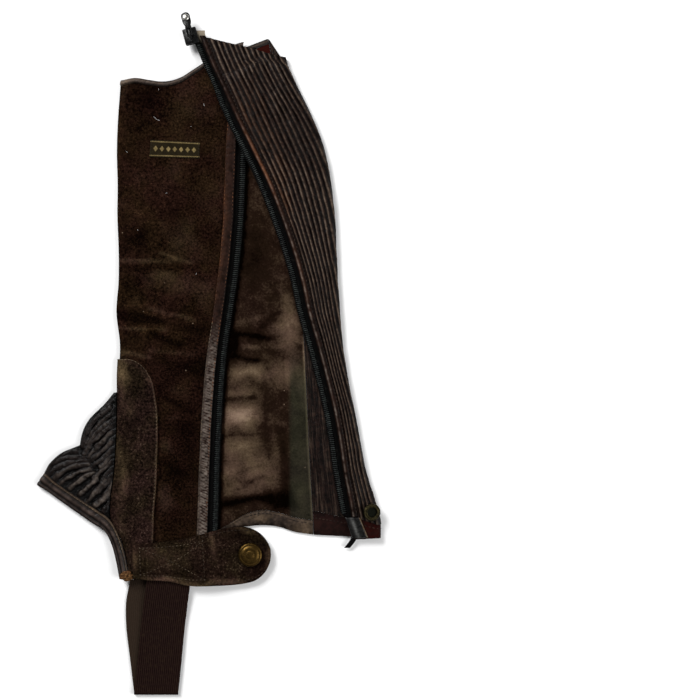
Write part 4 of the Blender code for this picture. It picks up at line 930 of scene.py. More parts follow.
def facing_rub_and_light(u, v, depth, x, y):
    """Grey rub and painted light of the facing: lower down, highlights on a slantwise wrinkled bead by
    the teeth.
    """
    low = smooth((36 - y) / 50)
    bead = 0.46 + 0.40 * np.sin(2.9 * y + 1.6 * x + 4 * noise(x, y, 9, 67))
    bead = bead + 0.5 * noise(x * 0.5, y, 1.2, 65) + 0.3 * noise(x, y, 0.8, 66)
    edge = 0.30 + 0.16 * noise(x, y, 0.9, 68)
    on_bead = smooth((u - 0.34) / 0.10) * smooth((0.98 - u) / 0.06)
    # painted shade: the top of the facing darker at its right side
    upper = mix(0.26, 0.10, (1 - low) * smooth((u - 0.64) / 0.14))
    return upper + low * mix(edge, np.clip(bead, -0.1, 1.1), on_bead)


def facing_worn(u, v, depth, x, y):
    """The red-brown bloom of the facing's upper half, strongest along its left edge."""
    bloom = 0.62 * peak(u, 0.04, 0.06) + 0.17 * peak(u, 0.30, 0.16)
    reach = smooth((y - 25) / 50) * mix(1.0, 0.4, smooth((y - 110) / 22))
    return bloom * reach * (0.8 + 0.4 * noise(x, y, 6, 64))


FACING = leather_finish("facing_leather", (16, 8, 5), (38, 22, 16), (106, 96, 88), (134, 84, 54),
                        gloss=0.06, pores=560, patchy=0.5)
facing = shell("front_zip_facing", facing_point, even(25), even(801),
               {"shade_and_highlight": facing_rub_and_light, "worn": facing_worn}, cloth_size=(0.008, 0.4))
dressed(facing, FACING, "binding_leather", "zip_facing_front")
for name, thread, paths in (
        ("facing", BROWN_THREAD, [upward(0.22, 0.5, 0.996, 260), upward(0.74, 0.004, 0.996, 500)]),
        ("facing_foot", PALE_THREAD, [upward(0.22, 0.004, 0.498, 260)])):
    seam(name, facing_point, paths, thread, "binding_leather", pitch=2.9, length=2.0, width=0.5,
         lift=0.05)

# Gathered panel. Thin leather is shirred on rows of elastic so that it closes round the calf: long
# ribs run down it, crossed by fine wrinkles. It folds over at the calf and crosses the front at the
# knee, where a turned hem pinches its ribs; on its inner face the gathers show as faint streaks.
RIBBED_FOLD, RIBBED_AT_ZIP = 6.2, 4.6
CROSSING_LIFT, CROSSING_RAMP = 4.5, 12.0
MARGIN, RIB_RISE, RIBS, PANEL_LENGTH = 5.6, 1.0, 18, 375
MARGIN_COLUMNS = 3                    # shares of the panel's width: a flat margin, then three to a rib
RIBBED_COLUMNS = MARGIN_COLUMNS + 3 * RIBS
RIBBED_LOW, RIBBED_HIGH = (-121.0, -127.0, -117.0), (238.5, 223.5, 238.0)
HEM_LOW = (-138.5, -137.4, -135.2)
CREST_HIGHLIGHT_ALONG = np.array((
    # distance up the panel, how bright the painted highlight on its crests is there
    (0, 0.90), (174, 0.90), (206, 0.94), (278, 1.06), (286, 0.64), (298, 0.54), (325, 0.52),
    (344, 0.82), (353, 1.02), (375, 1.05)))
crest_level = spline(CREST_HIGHLIGHT_ALONG[:, 0], CREST_HIGHLIGHT_ALONG[:, 1])


def crossing(x, y):
    """Lift of what lies over the front's zip at the knee and comes down to its right."""
    return CROSSING_LIFT * (1 - smooth((x - zip_front(y) - ZIP_SHOWS - 0.6) / CROSSING_RAMP))


def ribbed_base(x, y, share):
    return mix(RIBBED_AT_ZIP, RIBBED_FOLD, smooth(share)) + crossing(x, y)


def ribbed_section(u, heights, rise, depth):
    """A point of the gathered panel's section, from the zip over the calf fold to the back seam."""
    zip_y, fold_y, seam_y = heights
    radius = RIBBED_FOLD / 2
    start = point(zip_back(zip_y) + 0.5, zip_y)
    turn = point(calf_fold(fold_y) - RIB_RISE / 2 - radius, fold_y)
    end = point(back_seam(seam_y) + GAP / 2, seam_y)
    front_run = np.linalg.norm(turn - start, axis=-1)
    back_run = np.linalg.norm(end - turn, axis=-1)
    arc = math.pi * radius
    ribs_from = MARGIN_COLUMNS / RIBBED_COLUMNS
    ribbed_run = front_run + arc + back_run - MARGIN
    reach = (MARGIN * np.minimum(u / ribs_from, 1.0)
             + ribbed_run * np.maximum(u - ribs_from, 0.0) / (1 - ribs_from))
    share = reach / front_run
    top_x, top_y = xy(mix(start, turn, np.clip(share, 0, 1)[..., None]))
    back_share = np.clip((reach - front_run - arc) / back_run, 0, 1)
    under_x, under_y = xy(mix(turn, end, back_share[..., None]))
    angle = np.pi / 2 - (reach - front_run) / radius
    wall = radius + (1 - depth) * rise * (1 + np.sin(angle)) / 2 - depth * SUEDE_WALL
    leg = (reach >= front_run).astype(int) + (reach >= front_run + arc)
    top = ribbed_base(top_x, top_y, share) + (1 - depth) * rise - depth * SUEDE_WALL
    gathers = 0.25 * depth * np.abs(np.sin(reach * 1.9)) * (reach > front_run + arc + 2)
    return point(np.choose(leg, (top_x, turn[..., 0] + wall * np.cos(angle), under_x)),
                 np.choose(leg, (top_y, turn[..., 1], under_y)),
                 np.choose(leg, (top, radius + wall * np.sin(angle), depth * SUEDE_WALL + gathers)))


def stitched_line(u):
    """Where a row of thread pinches the gathers, slanting across the panel below its knee end."""
    return 0.915 + 0.13 * np.minimum(u, 0.5)


def rib_at(u, v):
    """Which rib a place is on as the ribs wander, how far across it, and how far up the panel."""
    along = v * PANEL_LENGTH
    rib = (u * RIBBED_COLUMNS - MARGIN_COLUMNS) / 3
    wander = 0.20 * noise(along, rib * 2.0, 26, 71) + 0.07 * noise(along, rib * 9.0, 8, 72)
    rib = rib + wander * smooth(rib * 2)
    rib = rib + 0.4 * smooth((v - stitched_line(u)) / 0.01) * smooth((rib - 3) / 3)
    return rib, rib % 1.0, along


def rib_shape(u, v):
    """Height of the ribs from 0 in a valley to about 1 on a crest, wrinkled across."""
    rib, share, along = rib_at(u, v)
    round_top = (1 - np.abs(2 * share - 1) ** 2.6) ** 0.7
    fullness = 0.82 + 0.22 * noise(along, np.floor(rib) * 40, 17, 73)
    wrinkles = 0.17 * noise(along, rib * 5.0, 2.0, 74) + 0.10 * noise(along, rib * 9.0, 4.4, 75)
    return np.where(rib > 0, round_top * (fullness + wrinkles), 0.0)


def rib_shade_and_highlight(u, v):
    """How far a rib stands out of its valleys, painted as shade there, with a thin painted highlight
    line along its crest.
    """
    rib, share, along = rib_at(u, v)
    broken = 0.72 + 0.45 * noise(along, rib * 5.0, 1.4, 74)
    broken = np.clip(broken + 0.35 * noise(along, np.floor(rib) * 40, 17, 77), 0, 1.2)
    crest = 0.66 * peak(share, 0.42, 0.11) * broken * crest_level(along)
    flank = 0.31 * np.clip(2.8 * (1 - np.abs(2 * share - 1)) - 0.45, 0, 1)
    return np.where(rib > 0, flank + crest, 0.2)


def ribbed_height(u, v):
    held = 1 - 0.65 * peak(v, stitched_line(u), 0.008)
    return RIB_RISE * 1.15 * rib_shape(u, v) * held


def ribbed_panel_point(u, v, depth):
    heights = [mix(low, high, v) for low, high in zip(RIBBED_LOW, RIBBED_HIGH)]
    return ribbed_section(u, heights, ribbed_height(u, v), depth)


RIB_WEAR = ((30, 150, 14, 40, 0.30), (52, 105, 10, 40, 0.22))
RIBBED = leather_finish("gathered_leather", (9, 5, 4), (30, 17, 12), (108, 92, 78), (120, 72, 38),
                        gloss=0.08, pores=700, wrinkle=0.4, patchy=0.65)
ribbed_panel = shell(
    "gathered_panel", ribbed_panel_point,
    shares((MARGIN_COLUMNS, 3 * RIBS), (5, 7 * RIBS)), even(361),
    # painted shade in the valleys and a painted highlight on each crest; inside, faint paler and darker
    # streaks
    {"shade_and_highlight": lambda u, v, depth, x, y: mix(
        rib_shade_and_highlight(u, v), 0.25 + 0.25 * noise(u * 420, v * 90, 3, 76), depth),
     "worn": lambda u, v, depth, x, y: (
         (1 - depth) * spots(x, y, RIB_WEAR) * np.clip(2 * rib_shape(u, v) - 1, 0, 1))},
    cloth_size=(0.1, 0.375))
dressed(ribbed_panel, RIBBED, "gathered_leather", "ribbed_panel")
pinch = np.linspace(0.06, 0.49, 240)
seam("gathered_hem", ribbed_panel_point, [(pinch, stitched_line(pinch))], DARK_THREAD,
     "gathered_leather", pitch=2.6, length=1.8, width=0.45)

# Foot hem of the gathered panel. A plain band of red-brown leather turns its gathers in, all round,
# and is rubbed redder at its right; one row of thread holds it on each of its faces.
def ribbed_hem_point(u, v, depth):
    heights = [mix(low, high - GAP, v) for low, high in zip(HEM_LOW, RIBBED_LOW)]
    crumple = 0.10 * noise(u * 90, v * 14, 3, 81) * (u < 0.5)
    return ribbed_section(u, heights, 0.12 + crumple, depth)


RED_LEATHER = leather_finish("red_leather", (14, 7, 6), (29, 14, 12), (52, 30, 25), (34, 5, 3),
                             roughness=0.60, gloss=0.03)
ribbed_hem = shell(
    "gathered_panel_hem", ribbed_hem_point, even(121), even(15),
    # a soft painted highlight along the middle of the band
    {"shade_and_highlight": lambda u, v, depth, x, y: 0.26 + 0.2 * (1 - abs(2 * v - 1)),
     "worn": lambda u, v, depth, x, y: 0.9 * smooth((x - 114) / 7) * (1 - depth)},
    cloth_size=(0.08, 0.015))
dressed(ribbed_hem, RED_LEATHER, "red_leather", "ribbed_hem")
for name, start, end, depth in (("foot_hem", 0.03, 0.27, 0.0), ("foot_hem_inside", 0.56, 0.97, 1.0)):
    seam(name, ribbed_hem_point, [between(start, end, 0.72, 120)], DARK_THREAD, "red_leather",
         pitch=2.8, length=1.9, width=0.45, depth=depth)

# Back half of the zip, sewn under the gathered panel's edge. Its tape's pale cut end shows at the
# knee, and at the foot a frayed tail hangs past the hem.
SLIDER_HEIGHT = 238.5


def back_zip_shows(y):
    return mix(ZIP_SHOWS, 6.2, smooth((y - 185) / 25))


BACK_ZIP = (zip_back, -1, crossing, back_zip_shows)


def back_tape_point(u, v, depth):
    y = mix(HEM_LOW[0] - 5, SLIDER_HEIGHT + 4.5, v)
    at = tape_point(BACK_ZIP, -119.5, y, u, depth)
    loose = np.clip((HEM_LOW[0] + 4 - y) / 9, 0, 1)
    return at + point(-6.5 * loose ** 1.5, -1.5 * loose, 0.9 * np.sin(np.pi * loose))


back_tape = shell(
    "back_zip_tape", back_tape_point, even(19), even(201),
    {"worn": lambda u, v, depth, x, y: 0.8 * smooth((v - 0.975) / 0.02)}, cloth_size=(0.012, 0.386))
dressed(back_tape, TAPE, "zip_tape", "zip_tape_back")
coil("back_zip_coil", BACK_ZIP, -118.5, SLIDER_HEIGHT - 7)

# Welt of the back zip: a rolled strip of leather between the teeth and the first rib, its crest
# painted with a grey-tan highlight, with a thin orange line where it is rubbed most.
WELT_PLACES = (-0.3, 0.2, 1.0, 2.3, 3.4, 4.0, 4.2)
WELT_WALLS = (0.3, 0.8, 1.15, 1.25, 1.0, 0.7, 0.4)


def welt_point(u, v, depth):
    y = mix(RIBBED_LOW[0], RIBBED_HIGH[0], v)
    across = station(WELT_PLACES, u)
    x = zip_back(y) + across
    run = calf_fold(y) - RIBBED_FOLD / 2 - zip_back(y)
    crumple = 0.14 * noise(x * 0.5, y, 2.2, 91) * np.clip(8 * u * (1 - u), 0, 1)
    return point(x, y, ribbed_base(x, y, across / run) + GAP
                 + (1 - depth) * (station(WELT_WALLS, u) + crumple))


WELT_WEAR = ((38, 140, 16, 34, 0.5), (70, 60, 14, 24, 0.12))


def welt_shade_and_highlight(u, v, depth, x, y):
    """The welt's painted grey-tan highlight along its crest, fainter at the knee, and painted shade
    beside it.
    """
    crest = peak(u, 0.36, 0.11) * (0.7 + 0.5 * noise(x, y, 3, 92))
    return 0.13 + 0.75 * crest * mix(1.0, 0.45, smooth((y - 150) / 40))


welt = shell(
    "back_zip_welt", welt_point, even(15), even(461),
    {"shade_and_highlight": welt_shade_and_highlight,
     "worn": lambda u, v, depth, x, y: spots(x, y, WELT_WEAR) * peak(u, 0.40, 0.16)},
    cloth_size=(0.005, 0.36))
dressed(welt, FACING, "binding_leather", "zip_welt_back")
seam("welt", welt_point, [upward(0.86, 0.01, 0.99, 500)], DARK_THREAD, "binding_leather", pitch=2.9,
     length=1.9, width=0.4, lift=0.0)

# End patch of the back zip. A scrap of glossy leather is sewn over the zip's foot end, where the
# band and the tape meet; it bulges over them and is raw and pale at its right edge.
END_PATCH_CORNERS = ((109.0, -137.4), (120.8, -136.6), (103.6, -121.8), (114.8, -121.9))


def end_patch_point(u, v, depth):
    x, y = xy(four_cornered(END_PATCH_CORNERS, u, v))
    bulge = (0.75 + 0.2 * noise(x, y * 0.4, 2.6, 101)) * np.sqrt(from_rim(u, v, 9, 9))
    return point(x, y, RIBBED_FOLD + GAP + (1 - depth) * (0.35 + bulge))


GLOSSY = leather_finish("glossy_leather", (8, 8, 8), (19, 18, 17), (86, 86, 84), (120, 98, 72),
                        roughness=0.30)
end_patch = shell(
    "zip_end_leather", end_patch_point, even(25), even(31),
    # a painted highlight down the middle of the glossy leather
    {"shade_and_highlight": lambda u, v, depth, x, y: 0.30 + 0.7 * peak(u, 0.42, 0.11),
     "worn": lambda u, v, depth, x, y: 0.6 * smooth((u - 0.9) / 0.06)},
    cloth_size=(0.012, 0.016))
dressed(end_patch, GLOSSY, "binding_leather", "zip_end_patch")

# Foot binding. Leather tape over the edge of the foot opening, from the lower front corner round
# the tip of the instep and back underneath, with its inner stitches rubbed orange.
FOOT_EDGE = np.array((
    # inner x, inner y, outer x, outer y, height
    (-58.5, -168.0, -65.5, -168.0, 7.0), (-61.5, -150.5, -68.0, -155.0, 7.2),
    (-66.5, -135.0, -71.5, -142.0, 7.0), (-73.0, -123.5, -77.0, -132.0, 6.6),
    (-82.0, -117.0, -87.0, -125.5, 5.6), (-98.0, -106.5, -105.0, -113.0, 5.4),
    (-115.0, -95.0, -122.0, -101.0, 5.3), (-122.5, -88.5, -128.5, -97.0, 5.2)))
FOOT_LEGS, FOOT_WALL = (17, 4, 10), 2.2   # shares of the tape: over the front, round the tip, below
FOOT_DROPS = (0.6, 0.1, 0.5, 0.05, -0.15, -0.1, 0.2, 0.85, 0.3, 0.35, 1.0)


def line(points):
    """A smooth line through the points, read from 0 to 1 along its length."""
    points = np.array(points, float)
    reach = np.concatenate(([0.0], np.cumsum(np.linalg.norm(np.diff(points, axis=0), axis=1))))
    return spline(reach / reach[-1], points)


foot_inner, foot_outer = line(FOOT_EDGE[:, :2]), line(FOOT_EDGE[:, 2:4])
foot_height = spline(even(len(FOOT_EDGE)), FOOT_EDGE[:, 4])
TIP = foot_inner(1.0) - foot_outer(1.0)
TIP = TIP / np.linalg.norm(TIP)
OUTWARD = np.array((-TIP[1], TIP[0]))


def foot_binding_point(u, v, depth):
    leg, share = legs(u, FOOT_LEGS)
    radius = FOOT_EDGE[-1, 4] / 2
    along = np.where(leg == 0, share, 1 - share)
    crumple = 0.16 * noise(along * 150, v * 3.0, 2.3, 111)
    drop = station(FOOT_DROPS, v) - crumple * np.clip(8 * v * (1 - v), 0, 1) * (leg == 0)
    at = mix(foot_inner(along), foot_outer(along), v[..., None])
    at = at - OUTWARD * (radius * smooth(along * 8 - 7))[..., None]
    below = at + OUTWARD * (1.2 * smooth(share * 4))[..., None]
    centre = mix(foot_inner(1.0), foot_outer(1.0), v[..., None]) - OUTWARD * radius
    angle = np.pi * (0.5 + share)
    inner = depth * (FOOT_WALL - drop)
    wall = radius - drop * (1 - share) - inner
    tip = centre - OUTWARD * (wall * np.cos(angle))[..., None]
    x, y = xy(np.choose(leg[..., None], (at, tip, below)))
    over = foot_height(along) - drop - inner
    return point(x, y, np.choose(leg, (over, radius + wall * np.sin(angle), inner)))


def foot_shade_and_highlight(u, v, depth, x, y):
    """The tape's painted light: a bright highlight on its crest, a duller one on its outer roll, a
    paler inner edge, shade elsewhere.
    """
    crest = 0.62 * peak(v, 0.44, 0.15) * (0.85 + 0.35 * noise(u * 150, v, 4, 112))
    return 0.10 + (1 - depth) * (crest + 0.42 * peak(v, 0.84, 0.06)) + 0.25 * (v < 0.16)


def foot_worn(u, v, depth, x, y):
    """The orange rub along the stitches, and the pale lower corner."""
    rub = 0.4 * peak(v, 0.07, 0.06) * (0.6 + 0.5 * noise(u * 150, v, 7, 113))
    return rub + 0.9 * smooth((0.022 - u) / 0.012)


FOOT_LEATHER = leather_finish("foot_binding_leather", (14, 9, 7), (35, 26, 22), (90, 76, 69),
                              (124, 100, 72), roughness=0.38, gloss=0.16, patchy=0.55)
foot_binding = shell(
    "foot_edge_binding", foot_binding_point, shares(FOOT_LEGS, (150, 14, 60)), even(22),
    {"shade_and_highlight": foot_shade_and_highlight, "worn": foot_worn}, cloth_size=(0.2, 0.01))
dressed(foot_binding, FOOT_LEATHER, "binding_leather", "foot_binding")
foot_share = FOOT_LEGS[0] / sum(FOOT_LEGS)
seam("foot_binding", foot_binding_point, [between(0.02, foot_share - 0.01, 0.1, 300)], PALE_THREAD,
     "binding_leather", pitch=2.7, length=1.9, width=0.5, lift=0.05)

# Raw end of the foot binding. The tape's cut end comes out from under the heel tab as a ragged,
# pale lump of leather fibre, frayed by the tab's stitches.
RAW_END = (-60.2, -165.4, 7.2)


def raw_end_point(u, v, depth):
    s, t = 2 * u - 1, 2 * v - 1
    across, up = s * np.sqrt(1 - t * t / 2), t * np.sqrt(1 - s * s / 2)
    away = np.hypot(across, up)
    ragged = 1 + 0.22 * noise(5 * across, 5 * up, 1.6, 151)
    x, y = RAW_END[0] + 5.4 * across * ragged, RAW_END[1] + 3.6 * up * ragged
    tufts = 0.5 * noise(x, y, 1.1, 152) * np.clip(1.2 - away, 0, 1)
    top = 1.4 * np.sqrt(np.clip(1 - away ** 2, 0, 1)) + tufts
    return point(x, y, RAW_END[2] + (1 - depth) * np.maximum(top, 0.05))


RAW_EDGE = suede_finish("raw_edge", (32, 19, 12), (98, 68, 46), (138, 104, 76))
raw_end = shell("binding_raw_end", raw_end_point, even(33), even(25), {"worn": 0.0})
dressed(raw_end, RAW_EDGE, "binding_leather")

# Instep gusset. A wedge of gathered leather gives at the ankle: long folds fan down its upper lobe
# and short fat ones run down to the foot edge, their crests painted with grey highlights and their
# valleys with black shade; a painted shadow lies where the upper folds go in under the front.
LOWER_LOBE = ((-122.5, -88.5), (-118.5, -81.5), (-110.0, -73.8), (-102.5, -71.0), (-96.6, -72.4))
UPPER_LOBE = ((-96.6, -72.4), (-93.8, -58.0), (-88.5, -48.0), (-77.5, -37.0), (-70.4, -28.4))
GUSSET_FOLDS = (
    # path of the crest, half width, fullness
    (((-75.8, -35.2), (-69.8, -29.2)), 1.8, 0.60),
    (((-79.5, -42.0), (-75.0, -37.5), (-69.0, -33.0)), 1.8, 0.70),
    (((-93.0, -68.2), (-91.5, -60.8), (-87.0, -51.8), (-79.5, -45.0), (-72.8, -39.0)), 2.1, 0.80),
    (((-91.5, -69.0), (-86.2, -58.5), (-78.0, -49.5), (-69.0, -41.2)), 1.9, 0.85),
    (((-90.0, -70.5), (-83.2, -59.2), (-75.0, -51.8), (-68.2, -48.0)), 1.9, 0.90),
    (((-92.2, -73.5), (-84.8, -64.5), (-78.0, -57.8), (-69.0, -51.8)), 2.0, 0.90),
    (((-88.5, -75.8), (-81.0, -67.5), (-74.2, -60.8), (-68.2, -56.2)), 2.1, 1.00),
    (((-85.5, -78.0), (-77.2, -70.5), (-68.2, -62.2)), 2.0, 1.00),
    (((-81.8, -81.0), (-74.2, -74.2), (-68.2, -68.2)), 2.0, 0.95),
    (((-79.5, -84.0), (-75.0, -79.5), (-68.2, -73.5)), 2.0, 1.00),
    (((-112.5, -77.2), (-105.8, -72.8), (-96.8, -72.8)), 2.1, 0.60),
    (((-122.2, -87.0), (-115.5, -81.0), (-104.2, -76.5), (-92.2, -76.5)), 2.4, 0.75),
    (((-120.0, -90.0), (-111.0, -84.0), (-99.8, -79.5), (-86.2, -78.8)), 2.2, 0.75),
    (((-114.8, -93.0), (-108.0, -87.0), (-99.8, -83.2), (-89.2, -81.8)), 2.2, 0.95),
    (((-109.5, -96.0), (-103.5, -91.5), (-96.8, -87.8), (-87.8, -85.5)), 2.0, 1.00),
    (((-102.8, -99.8), (-96.8, -95.2), (-90.8, -90.8), (-85.5, -88.5)), 2.2, 1.10),
    (((-95.2, -104.2), (-89.2, -99.0), (-83.2, -93.0)), 2.3, 1.10),
    (((-90.0, -110.2), (-84.8, -105.0), (-80.2, -98.2), (-76.5, -93.0)), 2.2, 1.00),
    (((-84.0, -112.5), (-78.0, -108.8), (-73.5, -102.8), (-70.5, -96.8)), 2.5, 1.15),
    (((-81.0, -102.8), (-75.8, -96.8), (-70.5, -90.0)), 1.9, 0.90),
    (((-84.8, -93.0), (-79.5, -87.0), (-72.8, -81.0), (-68.2, -78.0)), 1.9, 0.95),
    (((-79.5, -95.2), (-75.0, -89.2), (-68.2, -82.5)), 1.7, 0.80),
    (((-78.0, -117.8), (-73.5, -111.8), (-70.5, -105.8)), 2.0, 0.70),
    (((-85.5, -83.2), (-81.8, -80.2)), 1.8, 0.70))
LOBE_ROWS, GUSSET_SEAM = (21, 8, 10), (-121.0, -28.0)   # rows by the foot, lower lobe, upper lobe
GUSSET_LEGS = (2, 2, 7)               # shares of the gusset: back, fold, front
GUSSET_WALL, GUSSET_FOLD, RIDGE_RISE = 1.2, 4.8, 2.0
gusset_foot, lower_lobe, upper_lobe = line(FOOT_EDGE[3:, :2]), line(LOWER_LOBE), line(UPPER_LOBE)
TIP_ROW = LOBE_ROWS[0] / sum(LOBE_ROWS)


def gathers(x, y):
    """Height of the gusset's folds at a plan point: round crests that meet in tight valleys."""
    x, y = wavered(x, y, 0.7, 4, 121)
    top = np.zeros(x.shape)
    for path, width, fullness in GUSSET_FOLDS:
        away = np.full(x.shape, 1e3)
        for start, end in zip(path, path[1:]):
            away = np.minimum(away, off_line(x, y, *start, *end))
        top = np.maximum(top, fullness * np.clip(1 - (away / (1.16 * width)) ** 2, 0, 1) ** 0.6)
    return top * (1 + 0.16 * noise(x, y, 2.2, 123)) + 0.06 * noise(x, y, 1.3, 124)


def crest_share(height):
    """How far a fold's height takes it out of the painted black shade of the valleys, and on to its
    painted crest highlight.
    """
    out = 0.31 * np.clip((height - 0.36) / 0.34, 0, 1)
    return out + 0.66 * np.clip((height - 0.72) / 0.42, 0, 1) ** 1.7


def clear_of_tuck_shadow(x, y):
    """How far a fold is clear of the painted shadow in the slot where the upper folds go in under the
    front.
    """
    return mix(1.0, smooth((shin(y) - 1.9 - x) / 4.5), smooth((y + 95) / 15))


def gusset_point(u, v, depth):
    leg, share = legs(u, GUSSET_LEGS)
    seam_y = mix(*GUSSET_SEAM, v)
    seam_at = point(shin(seam_y) - 2 * GAP - PATCH_WALL, seam_y)
    folded = v > TIP_ROW - 1e-6
    stretch, along = legs(v, LOBE_ROWS)
    edge = np.choose(np.where(folded, np.maximum(stretch, 1), stretch)[..., None],
                     (gusset_foot(along) + (0.25, 0.35), lower_lobe(along * (stretch == 1)),
                      upper_lobe(along)))
    inward = seam_at - edge
    inward = inward / np.linalg.norm(inward, axis=-1)[..., None]
    radius = GUSSET_FOLD / 2 * mix(1.0, 0.7, smooth(v * 4 - 3))
    bend = edge + inward * (radius * folded)[..., None]
    angle = np.pi * (1.5 - share)
    wall = radius - depth * GUSSET_WALL
    fold = bend + inward * (wall * np.cos(angle))[..., None]
    under, over = mix(seam_at, bend, share[..., None]), mix(bend, seam_at, share[..., None])
    x, y = xy(np.choose(leg[..., None], (under, fold, over)))
    base = mix(2 * radius, SHIN_FOLD - 0.4, smooth(share)) - depth * GUSSET_WALL
    held = np.clip(np.minimum(share * 6, (1 - share) * 5), 0.35, 1)
    ridge = RIDGE_RISE * (gathers(*xy(over)) - 0.25) * held
    fold_rise = (1 - depth) * 0.5 * gathers(*xy(fold)) * smooth(share * 2 - 1)
    return point(x, y, np.choose(leg, (depth * GUSSET_WALL, radius + wall * np.sin(angle) + fold_rise,
                                       base + (1 - depth) * ridge)))


def gusset_keep(u, v):
    leg, _ = legs(u, GUSSET_LEGS)
    return (leg != 1) | (v > TIP_ROW)


GUSSET = leather_finish("gusset_leather", (7, 4, 3), (22, 15, 13), (82, 73, 66), (120, 84, 60),
                        roughness=0.38, gloss=0.11, pores=620, wrinkle=0.5, patchy=0.35)
gusset = shell(
    "instep_gusset_leather", gusset_point, shares(GUSSET_LEGS, (16, 12, 84)),
    shares(LOBE_ROWS, (168, 64, 80)),
    # painted shade in the valleys, a painted highlight on the crests, and the painted tuck shadow
    {"shade_and_highlight": lambda u, v, depth, x, y: (1 - depth) * clear_of_tuck_shadow(x, y) * crest_share(gathers(x, y)),
     "worn": 0.0}, keep=gusset_keep, cloth_size=(0.06, 0.11))
dressed(gusset, GUSSET, "gathered_leather", "instep_gusset")

# Label. A small woven cloth label sewn to the front on all sides: olive-brown ground, a thin tan
# line at top and bottom, and one plain row of woven lozenges along its middle.
LABEL_CORNERS = ((-43.0, 148.4), (-5.7, 147.4), (-42.2, 161.3), (-5.3, 159.5))
LABEL_SIZE = (0.0372, 0.0124)
LOZENGES_FROM, LOZENGE_PITCH, LOZENGES_TO = 0.0018, 0.0048, 0.0354   # metres along the label
LOZENGE = (0.0017, 0.0021)            # half its width and half its height
YARN_WAVE = 14000.0                   # radians a metre


def label_point(u, v, depth):
    x, y = xy(four_cornered(LABEL_CORNERS, u, v))
    bulge = (0.4 + 0.12 * noise(x, y, 6, 131)) * np.sqrt(from_rim(u, v, 30, 12))
    return point(x, y, front_height(x, y) + GAP + (1 - depth) * (0.35 + bulge))


def label_finish():
    """Woven label: olive-brown ground, a row of lozenges between two lines, dulled by dirt."""
    material, tree, where = finish("label_cloth", 0.9, 0.02)
    across, up = on_cloth(tree)
    warp, weft = (maths(tree, "SINE", times(tree, part, YARN_WAVE)) for part in (across, up))
    yarn = times(tree, warp, weft)
    dirt = speckle(tree, where, 260, 3.0)
    colour = tinted(tree, level(tree, yarn, -0.8, 0.8), (22, 18, 11), (48, 41, 26))
    colour = tinted(tree, level(tree, dirt, 0.42, 0.66, 0.0, 0.6), colour, (30, 24, 15))
    on_row = maths(tree, "WRAP", maths(tree, "SUBTRACT", across, LOZENGES_FROM), LOZENGE_PITCH)
    from_middle = apart(tree, up, LABEL_SIZE[1] / 2)
    lozenges = plus(tree, maths(tree, "DIVIDE", apart(tree, on_row, LOZENGE_PITCH / 2), LOZENGE[0]),
                    maths(tree, "DIVIDE", from_middle, LOZENGE[1]))
    ends = times(tree, level(tree, across, LOZENGES_FROM - 0.0001, LOZENGES_FROM + 0.0001),
                 level(tree, across, LOZENGES_TO + 0.0001, LOZENGES_TO - 0.0001))
    lozenges = times(tree, level(tree, lozenges, 1.08, 0.92), ends)
    lines = times(tree, level(tree, from_middle, 0.0045, 0.0048),
                  level(tree, from_middle, 0.0057, 0.0054))
    woven = maths(tree, "MAXIMUM", lozenges, times(tree, lines, 0.75))
    woven = times(tree, woven, level(tree, dirt, 0.3, 0.6, 1.0, 0.55))
    colour = tinted(tree, woven, colour, (146, 127, 84))
    return surfaced(material, colour, plus(tree, yarn, times(tree, woven, 2.0)), 0.12)


label = shell("woven_label", label_point, even(61), even(25), {"worn": 0.0}, cloth_size=LABEL_SIZE)
dressed(label, label_finish(), "label_cloth", "label")
seam("label", label_point, boxed(0.02, 0.98, 0.06, 0.94, 60, 30), DARK_THREAD, "label_cloth",
     pitch=2.0, length=1.4, width=0.35, lift=0.0)

# Snap tab. A double strap of scratched suede across the heel, boxed and crossed with thread where it
# joins the front; it carries the press stud's cap at its round end.
TAB = np.array((
    # lower x, y, upper x, y, height of the underside
    (-55.0, -167.0, -55.7, -141.0, 7.7), (-44.0, -168.5, -42.0, -140.5, 7.6),
    (-29.0, -169.5, -29.0, -139.5, 6.8), (-12.0, -173.0, -15.0, -137.0, 6.6),
    (6.0, -173.0, -3.0, -134.0, 6.5), (18.0, -172.6, 10.5, -130.5, 4.7),
    (28.0, -171.4, 21.5, -129.0, 4.2), (36.5, -169.0, 31.0, -129.5, 4.2),
    (43.5, -163.0, 39.5, -133.6, 4.2), (47.2, -155.5, 45.5, -140.5, 4.2),
    (48.0, -150.0, 47.7, -146.0, 4.2)))
TAB_WALL = 1.8
tab_low, tab_high = line(TAB[:, :2]), line(TAB[:, 2:4])
tab_under = spline(TAB[:, 0] + TAB[:, 2], TAB[:, 4])


def tab_point(u, v, depth):
    start, end = tab_low(u), tab_high(u)
    x, y = xy(mix(start, end, v[..., None]))
    rim = from_rim(u, v, 75, 28)
    buckle = 0.30 * noise(x, y, 12, 141) + 0.12 * noise(x, y, 5, 142)
    wall = TAB_WALL * (0.55 + 0.45 * np.sqrt(rim)) + np.maximum(buckle, -0.2) * rim
    return point(x, y, tab_under(start[..., 0] + end[..., 0]) + (1 - depth) * wall)


